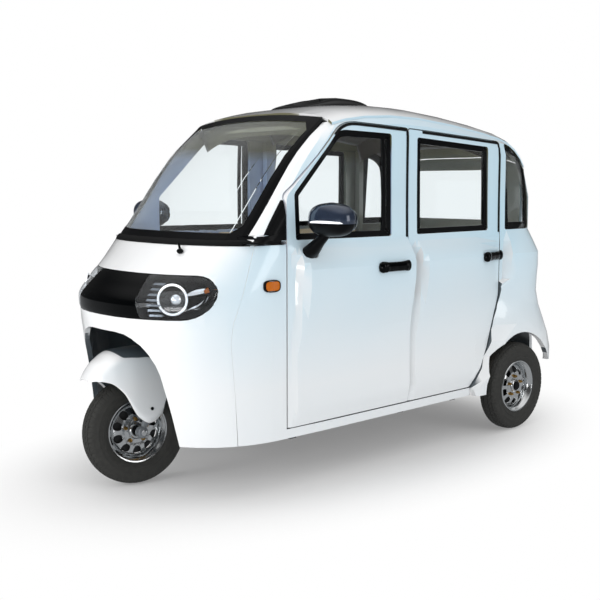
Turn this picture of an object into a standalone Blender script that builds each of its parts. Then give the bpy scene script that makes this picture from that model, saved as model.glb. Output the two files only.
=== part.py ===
"""Enclosed electric tricycle: one steered wheel in front, a four-door cabin, two wheels behind.

Metres, +Z up. The front faces -Y and the vehicle's left side is +X. The ground is z = 0.
"""

import math

import bmesh
import bpy
import numpy as np
from mathutils import Matrix, Vector

# Fits and clearances
TOUCH = 0.0003
SEAM = 0.006
FREE = 0.006

# Wheels: 4.00-10 tyres on 10-inch rims
TYRE_RADIUS = 0.235
TYRE_WIDTH = 0.100
BEAD_RADIUS = 0.127
FLANGE_RADIUS = 0.1365
FRONT_AXLE_Y = -1.055
WHEELBASE = 2.030
REAR_AXLE_Y = FRONT_AXLE_Y + WHEELBASE
REAR_WHEEL_X = 0.565
AXLE_Z = TYRE_RADIUS
WHEEL_SIDES = 28

# Steering
RAKE = math.radians(26.0)
REST_STEER = math.radians(-9.5)

# Body levels
SKIRT_Z = 0.228
DOOR_Z = 0.275
BELT_Z = 1.075
FLOOR_Z = 0.250
FLOOR_THICK = 0.030

# Body widths, from the middle out
SKIN_X = 0.541
SEAM_X = 0.548
DOOR_INNER_X = 0.497
FLANGE_X = 0.491
FRAME_INNER_X = 0.455
FLANGE_LAP = 0.030
HINGE_X = 0.550
HINGE_ZS = (0.450, 0.960)
ROOF_EDGE_X = 0.500

# Seams along the side
FRONT_SEAM_Y = -0.630
MID_SEAM_Y = 0.138
REAR_SEAM_Y = 0.861

# Roof section: a superellipse of this power on a base this far below the crown
ROOF_HEIGHT = 0.200
ROOF_POWER = 3.5
ROOF_THICK = 0.012
NOSE_POWER = 2.3
NOSE_HALF_WIDTH = SEAM_X

# Neighbouring facets this close to one plane are made one
FLAT_ANGLE = math.radians(0.4)

# The whole vehicle is moved this far so that its bounding box is centred
CENTRE_SHIFT = -0.0225


# Curves given by the few points that shape them

def smooth_line(points):
    """A smooth curve through (t, value) points that doesn't overshoot them."""
    ts = np.array([p[0] for p in points])
    values = np.array([p[1] for p in points])
    steps = np.diff(values) / np.diff(ts)
    slopes = np.zeros(len(ts))
    for i in range(1, len(ts) - 1):
        if steps[i - 1] * steps[i] > 0:
            slopes[i] = 2 * steps[i - 1] * steps[i] / (steps[i - 1] + steps[i])
    slopes[0] = steps[0]
    slopes[-1] = steps[-1]

    def value(t):
        t = min(max(t, ts[0]), ts[-1])
        i = min(int(np.searchsorted(ts, t, side="right")) - 1, len(ts) - 2)
        h = ts[i + 1] - ts[i]
        s = (t - ts[i]) / h
        a = (1 + 2 * s) * (1 - s) ** 2 * values[i]
        b = s * (1 - s) ** 2 * h * slopes[i]
        c = s * s * (3 - 2 * s) * values[i + 1]
        d = s * s * (s - 1) * h * slopes[i + 1]
        return float(a + b + c + d)

    return value


def ramp(t):
    t = min(max(t, 0.0), 1.0)
    return t * t * (3 - 2 * t)


def superellipse(share, power):
    """Height left, from 1 to 0, at this share of the half width."""
    return (1 - min(abs(share), 1.0) ** power) ** (1 / power)


def spread(low, high, count):
    return [low + (high - low) * i / count for i in range(count + 1)]


# Side of the body: the proud skin by height, and how far behind a seam it has risen

PROUD = smooth_line(
    (
        (0.200, 0.551),
        (0.280, 0.556),
        (0.365, 0.571),
        (0.590, 0.566),
        (0.740, 0.581),
        (0.880, 0.603),
        (0.955, 0.604),
        (1.020, 0.574),
        (BELT_Z, 0.545),
        (1.300, SKIN_X),
    )
)
BEVEL_START = smooth_line(
    ((0.28, 0.002), (0.44, 0.003), (0.56, 0.011), (0.75, 0.026), (0.88, 0.032), (0.97, 0.024), (BELT_Z, 0.0))
)
BEVEL_END = smooth_line(
    ((0.28, 0.010), (0.36, 0.044), (0.56, 0.040), (0.69, 0.065), (0.87, 0.086), (0.97, 0.074), (BELT_Z, 0.030))
)
ROOF_CROWN = smooth_line(
    (
        (-0.460, 1.622),
        (-0.384, 1.638),
        (-0.300, 1.660),
        (-0.200, 1.680),
        (0.000, 1.700),
        (0.150, 1.702),
        (0.400, 1.687),
        (0.650, 1.661),
        (0.850, 1.632),
        (0.950, 1.612),
        (1.030, 1.577),
        (1.100, 1.522),
        (1.160, 1.440),
    )
)
REAR_Y = smooth_line(
    (
        (0.228, 1.300),
        (0.300, 1.320),
        (0.379, 1.337),
        (0.472, 1.329),
        (0.583, 1.292),
        (0.678, 1.250),
        (0.800, 1.222),
        (0.970, 1.212),
        (BELT_Z, 1.195),
        (1.261, 1.197),
        (1.353, 1.186),
        (1.432, 1.159),
        (1.509, 1.093),
        (1.561, 1.020),
        (1.600, 0.930),
    )
)
SCREEN_EDGE_Y = smooth_line(
    ((1.000, -0.862), (1.065, -0.810), (1.183, -0.711), (1.330, -0.604), (1.427, -0.530), (1.532, -0.425), (1.640, -0.300))
)
SCREEN_BULGE = smooth_line(((1.000, 0.140), (1.250, 0.150), (1.450, 0.120), (1.640, 0.060)))
NOSE_DEPTH = smooth_line(
    (
        (0.200, 0.505),
        (0.420, 0.527),
        (0.600, 0.557),
        (0.700, 0.573),
        (0.820, 0.580),
        (0.900, 0.515),
        (0.960, 0.450),
        (1.020, 0.385),
        (1.075, 0.325),
    )
)
ARCH_Y = 0.985
ARCH_Z = 0.245
ARCH_RADIUS = 0.285
FLARE = 0.052
FLARE_WIDTH = 0.30
FLARE_EDGE_Y = smooth_line(
    ((0.228, 0.560), (0.305, 0.613), (0.348, 0.656), (0.414, 0.710), (0.521, 0.763), (0.643, 0.828), (0.774, 0.882), (0.879, 0.923))
)
QUARTER_EDGE_Y = smooth_line(
    ((0.228, 0.620), (0.280, 0.628), (0.367, 0.700), (0.450, 0.750), (0.600, 0.805), (0.750, REAR_SEAM_Y), (1.6, REAR_SEAM_Y))
)
SCREEN_EDGE_X = 0.470
PILLAR_ROUND = 0.075
CORNER_ROUND = 0.150
CORNER_DEPTH = 0.085
REAR_PANEL_HALF = 0.455


def roof_share(y, z):
    """Share of the half width that the roof's section leaves at this height."""
    rise = (z - (ROOF_CROWN(y) - ROOF_HEIGHT)) / ROOF_HEIGHT
    return superellipse(rise, ROOF_POWER) if rise > 0 else 1.0


def side_x(y, z):
    """Outer half width of the side behind the front doors' leading seam."""
    proud = PROUD(z)
    low = min(proud, SEAM_X)
    seam = max((s for s in (FRONT_SEAM_Y, MID_SEAM_Y, REAR_SEAM_Y) if s <= y + 0.003), default=FRONT_SEAM_Y)
    start = BEVEL_START(z)
    risen = ramp((y - seam - start) / (BEVEL_END(z) - start))
    x = low + risen * (proud - low)
    return x * roof_share(y, z)


def quarter_x(y, z):
    """Outer half width of the rear quarter, which flares round the wheel and rounds off behind."""
    proud = PROUD(z)
    low = min(proud, SEAM_X)
    start = BEVEL_START(z)
    risen = ramp((y - QUARTER_EDGE_Y(z) - start) / (BEVEL_END(z) - start))
    x = low + risen * (proud - low)
    reach = math.hypot(y - ARCH_Y, z - ARCH_Z) - ARCH_RADIUS
    x += FLARE * (1 - ramp(reach / FLARE_WIDTH)) * ramp((y - FLARE_EDGE_Y(z)) / 0.07)
    back = (y - (REAR_Y(z) - CORNER_ROUND)) / CORNER_ROUND
    if back > 0:
        x -= CORNER_DEPTH * (1 - math.sqrt(1 - min(back, 0.99) ** 2))
    return x * roof_share(y, z)


def pillar_x(y, z):
    """Outer half width of the windscreen pillar, rounded off towards the glass."""
    off = (y - SCREEN_EDGE_Y(z)) / PILLAR_ROUND
    full = side_x(max(y, FRONT_SEAM_Y), z)
    if off >= 1:
        return full
    return full - (SKIN_X - SCREEN_EDGE_X) * (1 - math.sqrt(1 - (1 - max(off, 0.0)) ** 2))


def nose_point(turn, z, inset=0.0):
    """A point of the nose at this angle from straight ahead, in radians."""
    sine = abs(math.sin(turn)) ** (2 / NOSE_POWER)
    cosine = abs(math.cos(turn)) ** (2 / NOSE_POWER)
    x = math.copysign((NOSE_HALF_WIDTH - inset) * sine, turn)
    return Vector((x, FRONT_SEAM_Y - (NOSE_DEPTH(z) - inset) * cosine, z))


def nose_x(y, z, inset=0.0):
    """Outer half width of the nose's side at this station."""
    share = (FRONT_SEAM_Y - y) / (NOSE_DEPTH(z) - inset)
    return (NOSE_HALF_WIDTH - inset) * superellipse(share, NOSE_POWER)


def skirt_x(y, z):
    if y < FRONT_SEAM_Y:
        return nose_x(y, z)
    return min(side_x(y, z), PROUD(z))


def screen_y(x, z, inset=0.0):
    """The windscreen's outer face."""
    end = superellipse(0.96, NOSE_POWER)
    curve = (superellipse(0.96 * x / SCREEN_EDGE_X, NOSE_POWER) - end) / (1 - end)
    return SCREEN_EDGE_Y(z) - SCREEN_BULGE(z) * curve + inset


def roof_z(x, y, inset=0.0):
    base = ROOF_CROWN(y) - ROOF_HEIGHT
    return base + ROOF_HEIGHT * superellipse(x / SKIN_X, ROOF_POWER) - inset


def rear_y(x, z, inset=0.0):
    return REAR_Y(z) + 0.035 * (1 - (x / SKIN_X) ** 2) - 0.085 * abs(x / SKIN_X) ** 8 - inset


# Mesh building

def block(outer, inner):
    """A closed solid between two matching grids of points."""
    bm = bmesh.new()
    a = [[bm.verts.new(p) for p in row] for row in outer]
    b = [[bm.verts.new(p) for p in row] for row in inner]
    rows = len(a) - 1
    cols = len(a[0]) - 1
    for i in range(rows):
        for j in range(cols):
            bm.faces.new((a[i][j], a[i][j + 1], a[i + 1][j + 1], a[i + 1][j]))
            bm.faces.new((b[i][j], b[i + 1][j], b[i + 1][j + 1], b[i][j + 1]))
    for j in range(cols):
        bm.faces.new((a[0][j], b[0][j], b[0][j + 1], a[0][j + 1]))
        bm.faces.new((a[rows][j], a[rows][j + 1], b[rows][j + 1], b[rows][j]))
    for i in range(rows):
        bm.faces.new((a[i][0], a[i + 1][0], b[i + 1][0], b[i][0]))
        bm.faces.new((a[i][cols], b[i][cols], b[i + 1][cols], a[i + 1][cols]))
    bmesh.ops.recalc_face_normals(bm, faces=bm.faces)
    return bm


def side_block(ys, zs, outer, inner):
    """A solid of the left side between two half-width functions of (y, z)."""
    return block(
        [[Vector((outer(y, z), y, z)) for y in ys] for z in zs],
        [[Vector((inner(y, z), y, z)) for y in ys] for z in zs],
    )


def prism(axis, outline, low, high):
    """The outline, in the two other axes in order, extruded along this axis."""
    bm = bmesh.new()
    place = {
        "x": lambda u, v, t: Vector((t, u, v)),
        "y": lambda u, v, t: Vector((u, t, v)),
        "z": lambda u, v, t: Vector((u, v, t)),
    }[axis]
    base = bm.faces.new([bm.verts.new(place(u, v, low)) for u, v in outline])
    made = bmesh.ops.extrude_face_region(bm, geom=[base])
    top = [v for v in made["geom"] if isinstance(v, bmesh.types.BMVert)]
    bmesh.ops.translate(bm, verts=top, vec=place(0, 0, high) - place(0, 0, low))
    bmesh.ops.recalc_face_normals(bm, faces=bm.faces)
    return bm


def box(low, high):
    (x0, y0, z0), (x1, y1, z1) = low, high
    return prism("z", ((x0, y0), (x1, y0), (x1, y1), (x0, y1)), z0, z1)


def rounded(corners, steps=5):
    """An outline from (u, v, radius) corners, each rounded by an arc."""
    points = []
    count = len(corners)
    for i, (u, v, radius) in enumerate(corners):
        here = Vector((u, v))
        if radius == 0:
            points.append((u, v))
            continue
        before = (Vector(corners[i - 1][:2]) - here).normalized()
        after = (Vector(corners[(i + 1) % count][:2]) - here).normalized()
        half = before.angle(after) / 2
        middle = here + (before + after).normalized() * radius / math.sin(half)
        first = here + before * radius / math.tan(half)
        last = here + after * radius / math.tan(half)
        start = math.atan2(first.y - middle.y, first.x - middle.x)
        sweep = math.atan2(last.y - middle.y, last.x - middle.x) - start
        sweep = (sweep + math.pi) % (2 * math.pi) - math.pi
        for k in range(steps + 1):
            angle = start + sweep * k / steps
            points.append((middle.x + radius * math.cos(angle), middle.y + radius * math.sin(angle)))
    return points


def grown(corners, distance, steps=5):
    """The rounded outline with every side moved outwards by this distance, or inwards if negative."""
    count = len(corners)
    area = sum(
        corners[i][0] * corners[(i + 1) % count][1] - corners[(i + 1) % count][0] * corners[i][1]
        for i in range(count)
    )
    turn = 1 if area > 0 else -1
    result = []
    for i, (u, v, radius) in enumerate(corners):
        here = Vector((u, v))
        before = (here - Vector(corners[i - 1][:2])).normalized()
        after = (Vector(corners[(i + 1) % count][:2]) - here).normalized()
        outward = Vector((before.y + after.y, -before.x - after.x)).normalized() * turn
        lean = outward.dot(Vector((before.y, -before.x)) * turn)
        moved_to = here + outward * distance / lean
        bend = before.angle(after) * turn * math.copysign(1, before.cross(after))
        new_radius = 0.0 if radius == 0 else max(radius + math.copysign(distance, bend * distance), 0.003)
        result.append((moved_to.x, moved_to.y, new_radius))
    return rounded(result, steps)


def tube(path, radius, sides=12):
    """A round bar along a path of points, with flat ends."""
    bm = bmesh.new()
    path = [Vector(p) for p in path]
    rings = []
    across = None
    for i, here in enumerate(path):
        ahead = (path[min(i + 1, len(path) - 1)] - path[max(i - 1, 0)]).normalized()
        if across is None:
            across = ahead.orthogonal().normalized()
        across = (across - ahead * across.dot(ahead)).normalized()
        up = ahead.cross(across)
        ring = []
        for k in range(sides):
            angle = 2 * math.pi * k / sides
            ring.append(bm.verts.new(here + radius * (across * math.cos(angle) + up * math.sin(angle))))
        rings.append(ring)
    for a, b in zip(rings, rings[1:]):
        for k in range(sides):
            bm.faces.new((a[k], a[(k + 1) % sides], b[(k + 1) % sides], b[k]))
    bm.faces.new(rings[0])
    bm.faces.new(rings[-1])
    bmesh.ops.recalc_face_normals(bm, faces=bm.faces)
    return bm


def lathe(profile, segments=48, closed=True):
    """The (radius, x) profile turned about the X axis."""
    bm = bmesh.new()
    rings = []
    for k in range(segments):
        angle = 2 * math.pi * k / segments
        rings.append(
            [bm.verts.new((x, r * math.cos(angle), r * math.sin(angle))) for r, x in profile]
        )
    count = len(profile)
    for k in range(segments):
        a = rings[k]
        b = rings[(k + 1) % segments]
        for i in range(count if closed else count - 1):
            j = (i + 1) % count
            bm.faces.new((a[i], a[j], b[j], b[i]))
    if not closed:
        bm.faces.new([ring[0] for ring in rings])
        bm.faces.new([ring[-1] for ring in rings])
    bmesh.ops.recalc_face_normals(bm, faces=bm.faces)
    return bm


def to_object(name, bm):
    mesh = bpy.data.meshes.new(name)
    bm.to_mesh(mesh)
    bm.free()
    obj = bpy.data.objects.new(name, mesh)
    bpy.context.scene.collection.objects.link(obj)
    return obj


def combine(bm, tool, operation="DIFFERENCE"):
    """The first solid with the second cut from it, joined to it or kept in common."""
    for mesh in (bm, tool):
        bmesh.ops.triangulate(mesh, faces=mesh.faces)
    base = to_object("work", bm)
    other = to_object("tool", tool)
    modifier = base.modifiers.new("combine", "BOOLEAN")
    modifier.operation = operation
    modifier.solver = "EXACT"
    modifier.object = other
    graph = bpy.context.evaluated_depsgraph_get()
    result = bmesh.new()
    evaluated = base.evaluated_get(graph)
    result.from_mesh(evaluated.to_mesh())
    evaluated.to_mesh_clear()
    for obj in (base, other):
        mesh = obj.data
        bpy.data.objects.remove(obj)
        bpy.data.meshes.remove(mesh)
    return result


def cut(bm, *tools):
    for tool in tools:
        bm = combine(bm, tool)
    return bm


def join(bm, *tools):
    for tool in tools:
        bm = combine(bm, tool, "UNION")
    return bm


def keep(bm, tool):
    return combine(bm, tool, "INTERSECT")


def moved(bm, matrix):
    bmesh.ops.transform(bm, matrix=matrix, verts=bm.verts)
    return bm


def mirrored(bm):
    copy = bm.copy()
    bmesh.ops.scale(copy, vec=(-1, 1, 1), verts=copy.verts)
    bmesh.ops.reverse_faces(copy, faces=copy.faces)
    return copy


# Scene and materials

def clear_scene():
    for obj in list(bpy.data.objects):
        bpy.data.objects.remove(obj, do_unlink=True)


def finish_material(name, colour, roughness, metallic=0.0, alpha=1.0):
    material = bpy.data.materials.get(name) or bpy.data.materials.new(name)
    material.use_nodes = True
    shader = material.node_tree.nodes["Principled BSDF"]
    shader.inputs["Base Color"].default_value = (*colour, 1)
    shader.inputs["Roughness"].default_value = roughness
    shader.inputs["Metallic"].default_value = metallic
    shader.inputs["Alpha"].default_value = alpha
    material.diffuse_color = (*colour, alpha)
    return material


FINISHES = {
    "white paint": ((0.86, 0.90, 0.93), 0.25, 0.0, 1.0),
    "black gloss": ((0.012, 0.012, 0.014), 0.12, 0.0, 1.0),
    "black trim": ((0.02, 0.02, 0.02), 0.55, 0.0, 1.0),
    "rubber": ((0.022, 0.022, 0.024), 0.85, 0.0, 1.0),
    "alloy": ((0.72, 0.73, 0.75), 0.25, 1.0, 1.0),
    "steel": ((0.10, 0.10, 0.11), 0.50, 0.6, 1.0),
    "glass": ((0.55, 0.62, 0.64), 0.05, 0.0, 0.35),
    "lamp": ((0.75, 0.80, 0.85), 0.10, 0.0, 1.0),
    "red lamp": ((0.45, 0.02, 0.02), 0.15, 0.0, 1.0),
    "amber lamp": ((0.90, 0.32, 0.03), 0.15, 0.0, 1.0),
    "beige cover": ((0.62, 0.52, 0.38), 0.70, 0.0, 1.0),
    "grey plastic": ((0.16, 0.16, 0.17), 0.60, 0.0, 1.0),
}


def node(name, bm, finish, parent):
    """A finished piece: its points are given in the vehicle's frame and kept in its parent's."""
    bpy.context.view_layer.update()
    if parent.get("own_frame") != 1:
        moved(bm, Matrix.Translation(-parent.location))
    bmesh.ops.dissolve_limit(bm, angle_limit=FLAT_ANGLE, verts=bm.verts, edges=bm.edges)
    obj = to_object(name, bm)
    obj.parent = parent
    obj.data.materials.append(finish_material(finish, *FINISHES[finish]))
    obj.data.shade_smooth()
    obj.data.set_sharp_from_angle(angle=math.radians(32))
    return obj


def empty(name, location, parent=None):
    obj = bpy.data.objects.new(name, None)
    obj.location = location
    obj.parent = parent
    bpy.context.scene.collection.objects.link(obj)
    return obj


def both_sides(name, bm, finish, parent):
    other = mirrored(bm)
    node(f"{name}_left", bm, finish, parent)
    node(f"{name}_right", other, finish, parent)


# Outlines in the side view, as (y, z)

FRONT_DOOR = (
    (FRONT_SEAM_Y, DOOR_Z, 0.0),
    (MID_SEAM_Y - SEAM, DOOR_Z, 0.0),
    (MID_SEAM_Y - SEAM, 1.574, 0.012),
    (-0.283, 1.594, 0.20),
    (FRONT_SEAM_Y, 1.265, 0.06),
)
REAR_DOOR = (
    (MID_SEAM_Y, DOOR_Z, 0.0),
    (0.615, DOOR_Z, 0.02),
    (0.695, 0.367, 0.10),
    (0.752, 0.470, 0.20),
    (0.855, 0.740, 0.12),
    (0.855, 1.536, 0.012),
    (MID_SEAM_Y, 1.574, 0.012),
)
FRONT_WINDOW = (
    (-0.579, 1.080, 0.012),
    (0.019, 1.077, 0.012),
    (0.017, 1.548, 0.015),
    (-0.315, 1.556, 0.11),
    (-0.586, 1.277, 0.03),
)
REAR_WINDOW = (
    (0.199, 1.079, 0.012),
    (0.757, 1.081, 0.012),
    (0.751, 1.508, 0.012),
    (0.197, 1.538, 0.012),
)
QUARTER_WINDOW = (
    (0.905, 1.080, 0.012),
    (1.145, 1.080, 0.020),
    (1.112, 1.490, 0.160),
    (0.905, 1.532, 0.012),
)


def ring_points(centre_u, centre_v, radius, start, end, steps):
    return [
        (centre_u + radius * math.cos(a), centre_v + radius * math.sin(a))
        for a in spread(math.radians(start), math.radians(end), steps)
    ]


# Body panels

SIDE_ZS = (0.2, 0.28, 0.32, 0.365, 0.47, 0.59, 0.67, 0.74, 0.81, 0.88, 0.92, 0.955, 0.985, 1.02, 1.05, 1.075)
UPPER_ZS = (1.2, 1.35, 1.45, 1.5, 1.54, 1.57, 1.6, 1.63, 1.66)


def door_ys(seam, end):
    return [seam - 0.001, seam + 0.02, seam + 0.04, seam + 0.06, seam + 0.09] + spread(
        seam + 0.09, end, 3
    )[1:]


def door_shell(outline, window, seam, end):
    bm = side_block(
        door_ys(seam, end), SIDE_ZS + UPPER_ZS[:8], side_x, lambda y, z: DOOR_INNER_X
    )
    return cut(keep(bm, prism("x", rounded(outline), 0.3, 0.8)), prism("x", rounded(window), 0.3, 0.8))


def pane(outline, outer, inset, thick, low, high):
    """A sheet of glass that fills its opening, following the skin."""
    ys = [p[0] for p in outline]
    zs = [p[1] for p in outline]
    bm = side_block(
        spread(min(ys) - 0.01, max(ys) + 0.01, 4),
        spread(min(zs) - 0.01, max(zs) + 0.01, 6),
        lambda y, z: outer(y, z) - inset,
        lambda y, z: outer(y, z) - inset - thick,
    )
    return keep(bm, prism("x", grown(outline, -TOUCH), low, high))


def make_door(side, name, outline, window, seam, end, handle_y, handle_z, hinge, mirror):
    """One door with its glass and handle, on the empty that stands on its hinge axis."""
    sign = 1 if side == "left" else -1
    axis = empty(f"{name}_{side}_hinge", (sign * hinge[0], hinge[1], 0.0), ROOT)
    shell = door_shell(outline, window, seam, end)
    glass = pane(window, side_x, 0.008, 0.006, 0.3, 0.8)
    grip_x = side_x(handle_y, handle_z)
    grip = rounded(
        (
            (handle_y - 0.105, handle_z - 0.016, 0.014),
            (handle_y + 0.105, handle_z - 0.016, 0.014),
            (handle_y + 0.105, handle_z + 0.016, 0.014),
            (handle_y - 0.105, handle_z + 0.016, 0.014),
        ),
        3,
    )
    handle = prism("x", grip, grip_x + 0.012, grip_x + 0.030)
    for foot_y in (handle_y - 0.085, handle_y + 0.085):
        seat_x = min(side_x(foot_y + d, handle_z + e) for d in (-0.014, 0.014) for e in (-0.012, 0.012)) - 0.005
        low = Vector((seat_x, foot_y - 0.014, handle_z - 0.012))
        high = Vector((grip_x + 0.020, foot_y + 0.014, handle_z + 0.012))
        room = Vector((TOUCH, TOUCH, TOUCH))
        shell = cut(shell, box(low - room, high + room + Vector((0.05, 0, 0))))
        handle = join(handle, box(low, high))
    if mirror:
        shell = cut(shell, prism("x", ring_points(*MIRROR_FOOT, MIRROR_PAD + TOUCH, 0, 330, 11), mirror_seat() - TOUCH, 0.8))
    pieces = [(f"{name}_{side}", shell, "white paint")]
    pieces.append((f"{name}_window_{side}", glass, "glass"))
    pieces.append((f"{name}_handle_{side}", handle, "black gloss"))
    if mirror:
        pieces.append((f"door_mirror_{side}", mirror_solid(), "black gloss"))
    for piece, bm, finish in pieces:
        if sign < 0:
            flipped = mirrored(bm)
            bm.free()
            bm = flipped
        node(piece, bm, finish, axis)


MIRROR_FOOT = (-0.500, 1.030)
MIRROR_PAD = 0.028


def mirror_seat():
    """Depth of the flat seat that the mirror's foot stands on, sunk into the door's upper curve."""
    y, z = MIRROR_FOOT
    return min(side_x(y + u, z + v) for u in (-0.03, 0.0, 0.03) for v in (-0.03, 0.0, 0.03)) - 0.003


def mirror_solid():
    """Door mirror: an oval housing on a short arm that stands on the door below the belt."""
    bm = bmesh.new()
    bmesh.ops.create_uvsphere(bm, u_segments=14, v_segments=8, radius=1.0)
    housing = moved(
        bm, Matrix.Translation((0.690, -0.490, 1.172)) @ Matrix.Diagonal((0.082, 0.055, 0.066, 1.0))
    )
    y, z = MIRROR_FOOT
    seat = mirror_seat()
    arm = tube(((seat + 0.030, y, z), (seat + 0.055, y, z + 0.030), (0.655, y + 0.008, 1.140)), 0.016, 10)
    pad = prism("x", ring_points(y, z, MIRROR_PAD, 0, 330, 11), seat, seat + 0.045)
    return join(housing, arm, pad)


def make_doors():
    for side in ("left", "right"):
        make_door(
            side, "front_door", FRONT_DOOR, FRONT_WINDOW, FRONT_SEAM_Y, MID_SEAM_Y - SEAM,
            -0.024, 0.942, (HINGE_X, FRONT_SEAM_Y - SEAM / 2), True,
        )
        make_door(
            side, "rear_door", REAR_DOOR, REAR_WINDOW, MID_SEAM_Y, 0.858,
            0.755, 0.950, (HINGE_X, MID_SEAM_Y - SEAM / 2), False,
        )


def make_cabin_frame():
    """Windscreen pillars, rails above the doors and posts behind them, joined over the cabin."""
    shares = (0.0, 0.006, 0.02, 0.045, 0.08, 0.13, 0.22, 0.36, 0.52, 0.68, 0.84, 1.0)
    heights = (0.0, 0.15, 0.32, 0.5, 0.66, 0.78, 0.86, 0.92, 0.97, 1.0)
    low_z = 1.079
    end = REAR_SEAM_Y - 0.003

    def grid(width):
        rows = []
        for t in heights:
            row = []
            for s in shares:
                z = low_z + (1.6 - low_z) * t
                for _ in range(3):
                    y = SCREEN_EDGE_Y(z) + (end - SCREEN_EDGE_Y(z)) * s
                    z = low_z + (ROOF_CROWN(y) - 0.062 - low_z) * t
                row.append(Vector((width(y, z), y, z)))
            rows.append(row)
        return rows

    side = block(grid(pillar_x), grid(lambda y, z: min(FRAME_INNER_X, pillar_x(y, z) - 0.014)))
    for door in (FRONT_DOOR, REAR_DOOR):
        side = cut(side, prism("x", grown(door, -FLANGE_LAP), 0.3, 0.8))
        side = cut(side, prism("x", grown(door, SEAM), FLANGE_X, 0.8))
    inner = FRAME_INNER_X + 0.001
    outer = FLANGE_X - 0.001
    lap = FLANGE_LAP + 0.002
    foot = FLOOR_Z
    deck = REAR_DECK_Z + 0.004
    for low, high in (
        ((inner, FRONT_SEAM_Y - 0.025, foot), (outer, FRONT_SEAM_Y + lap - 0.004, 1.10)),
        ((inner, MID_SEAM_Y - SEAM - lap + 0.004, foot), (outer, MID_SEAM_Y + lap - 0.004, 1.20)),
        ((inner, 0.855 - lap + 0.004, deck), (outer, REAR_SEAM_Y - 0.005, 1.20)),
        ((inner, FRONT_SEAM_Y, foot), (outer, 0.590, DOOR_Z + 0.028)),
        ((inner, 0.560, foot), (outer, 0.590, REAR_DECK_Z + 0.030)),
        ((inner, 0.570, deck), (outer, 0.850, REAR_DECK_Z + 0.030)),
    ):
        side = join(side, box(low, high))
    for seam in (FRONT_SEAM_Y, MID_SEAM_Y):
        for z in HINGE_ZS:
            low = (outer - 0.004, seam - 0.010, z - 0.030)
            side = join(side, box(low, (DOOR_INNER_X - TOUCH, seam + 0.022, z + 0.030)))
    side = cut(side, roof_space(ROOF_THICK + TOUCH), screen_space())
    other = mirrored(side)
    bows = []
    for y in (-0.300, MID_SEAM_Y, REAR_SEAM_Y - 0.03):
        high = min(ROOF_CROWN(y - 0.02), ROOF_CROWN(y + 0.02)) - 0.067
        bows.append(box((-0.47, y - 0.02, high - 0.022), (0.47, y + 0.02, high)))
    frame = join(side, bows[0], other, bows[1], bows[2])
    node("cabin_frame", frame, "white paint", ROOT)


ROOF_XS = (0.0, 0.20, 0.32, 0.40, 0.45, 0.48, ROOF_EDGE_X - 0.0015)
ROOF_YS = (-0.46, -0.36, -0.24, -0.12, 0.05, 0.25, 0.50, 0.75, 0.90, 0.98, 1.04, 1.09, 1.13)


def roof_space(depth):
    """All that lies above the roof panel's underside, and above its seams at the sides."""
    xs = ROOF_XS + (ROOF_EDGE_X,)
    ys = (-0.60,) + ROOF_YS + (1.40,)
    rows = [
        [Vector((x, y, roof_z(x, y) - depth)) for x in xs] + [Vector((0.7, y, roof_z(ROOF_EDGE_X, y)))]
        for y in ys
    ]
    return block(rows, [[Vector((p.x, p.y, 2.0)) for p in row] for row in rows])


def roof_body(rise):
    """All that lies below the roof panel's outer face, raised by this much."""
    xs = [-x for x in reversed(ROOF_XS[1:])] + list(ROOF_XS)
    rows = [[Vector((x, y, roof_z(x, y) + rise)) for x in xs] for y in ROOF_YS]
    return block(rows, [[Vector((p.x, p.y, 1.2)) for p in row] for row in rows])


def make_roof():
    xs = [-x for x in reversed(ROOF_XS[1:])] + list(ROOF_XS)
    sheet = block(
        [[Vector((x, y, roof_z(x, y))) for x in xs] for y in ROOF_YS],
        [[Vector((x, y, roof_z(x, y, ROOF_THICK))) for x in xs] for y in ROOF_YS],
    )
    front = [(x, screen_y(x, screen_top(x)) + 0.010) for x in spread(-SCREEN_EDGE_X, SCREEN_EDGE_X, 12)]
    edge = front[-1][1]
    plan = front + [(0.6, edge), (0.6, 1.2), (-0.6, 1.2), (-0.6, edge)]
    node("roof_panel", keep(sheet, prism("z", plan, 1.0, 2.0)), "white paint", ROOT)

    pod_ys = (-0.27, -0.24, -0.17, 0.0, 0.15, 0.27, 0.31)
    pod_rise = (0.010, 0.024, 0.036, 0.034, 0.026, 0.016, 0.008)
    pod_half = (0.20, 0.27, 0.31, 0.31, 0.30, 0.27, 0.22)
    top = []
    under = []
    for y, rise, wide in zip(pod_ys, pod_rise, pod_half):
        row = [wide * s for s in (-1.0, -0.9, -0.6, 0.0, 0.6, 0.9, 1.0)]
        lift = (0.3, 0.85, 1.0, 1.0, 1.0, 0.85, 0.3)
        top.append([Vector((x, y, roof_z(x, y) + 0.008 + rise * k)) for x, k in zip(row, lift)])
        under.append([Vector((x, y, roof_z(x, y) - 0.010)) for x in row])
    node("roof_pod", cut(block(top, under), roof_body(TOUCH)), "black gloss", ROOT)


def screen_top(x):
    return 1.609 + 0.028 * (1 - (x / SCREEN_EDGE_X) ** 2)


SCREEN_XS = [SCREEN_EDGE_X * math.sin(a) for a in spread(-math.pi / 2, math.pi / 2, 12)]
SCREEN_ZS = (1.070, 1.14, 1.24, 1.34, 1.44, 1.52, 1.59, 1.645)
SURROUND_THICK = 0.012


def screen_space():
    """All that lies ahead of the windscreen's inner face."""
    edge = [[Vector((x, screen_y(x, z, SURROUND_THICK + TOUCH), z)) for x in SCREEN_XS] for z in SCREEN_ZS]
    return block(edge, [[Vector((p.x, -1.3, p.z)) for p in row] for row in edge])


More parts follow.
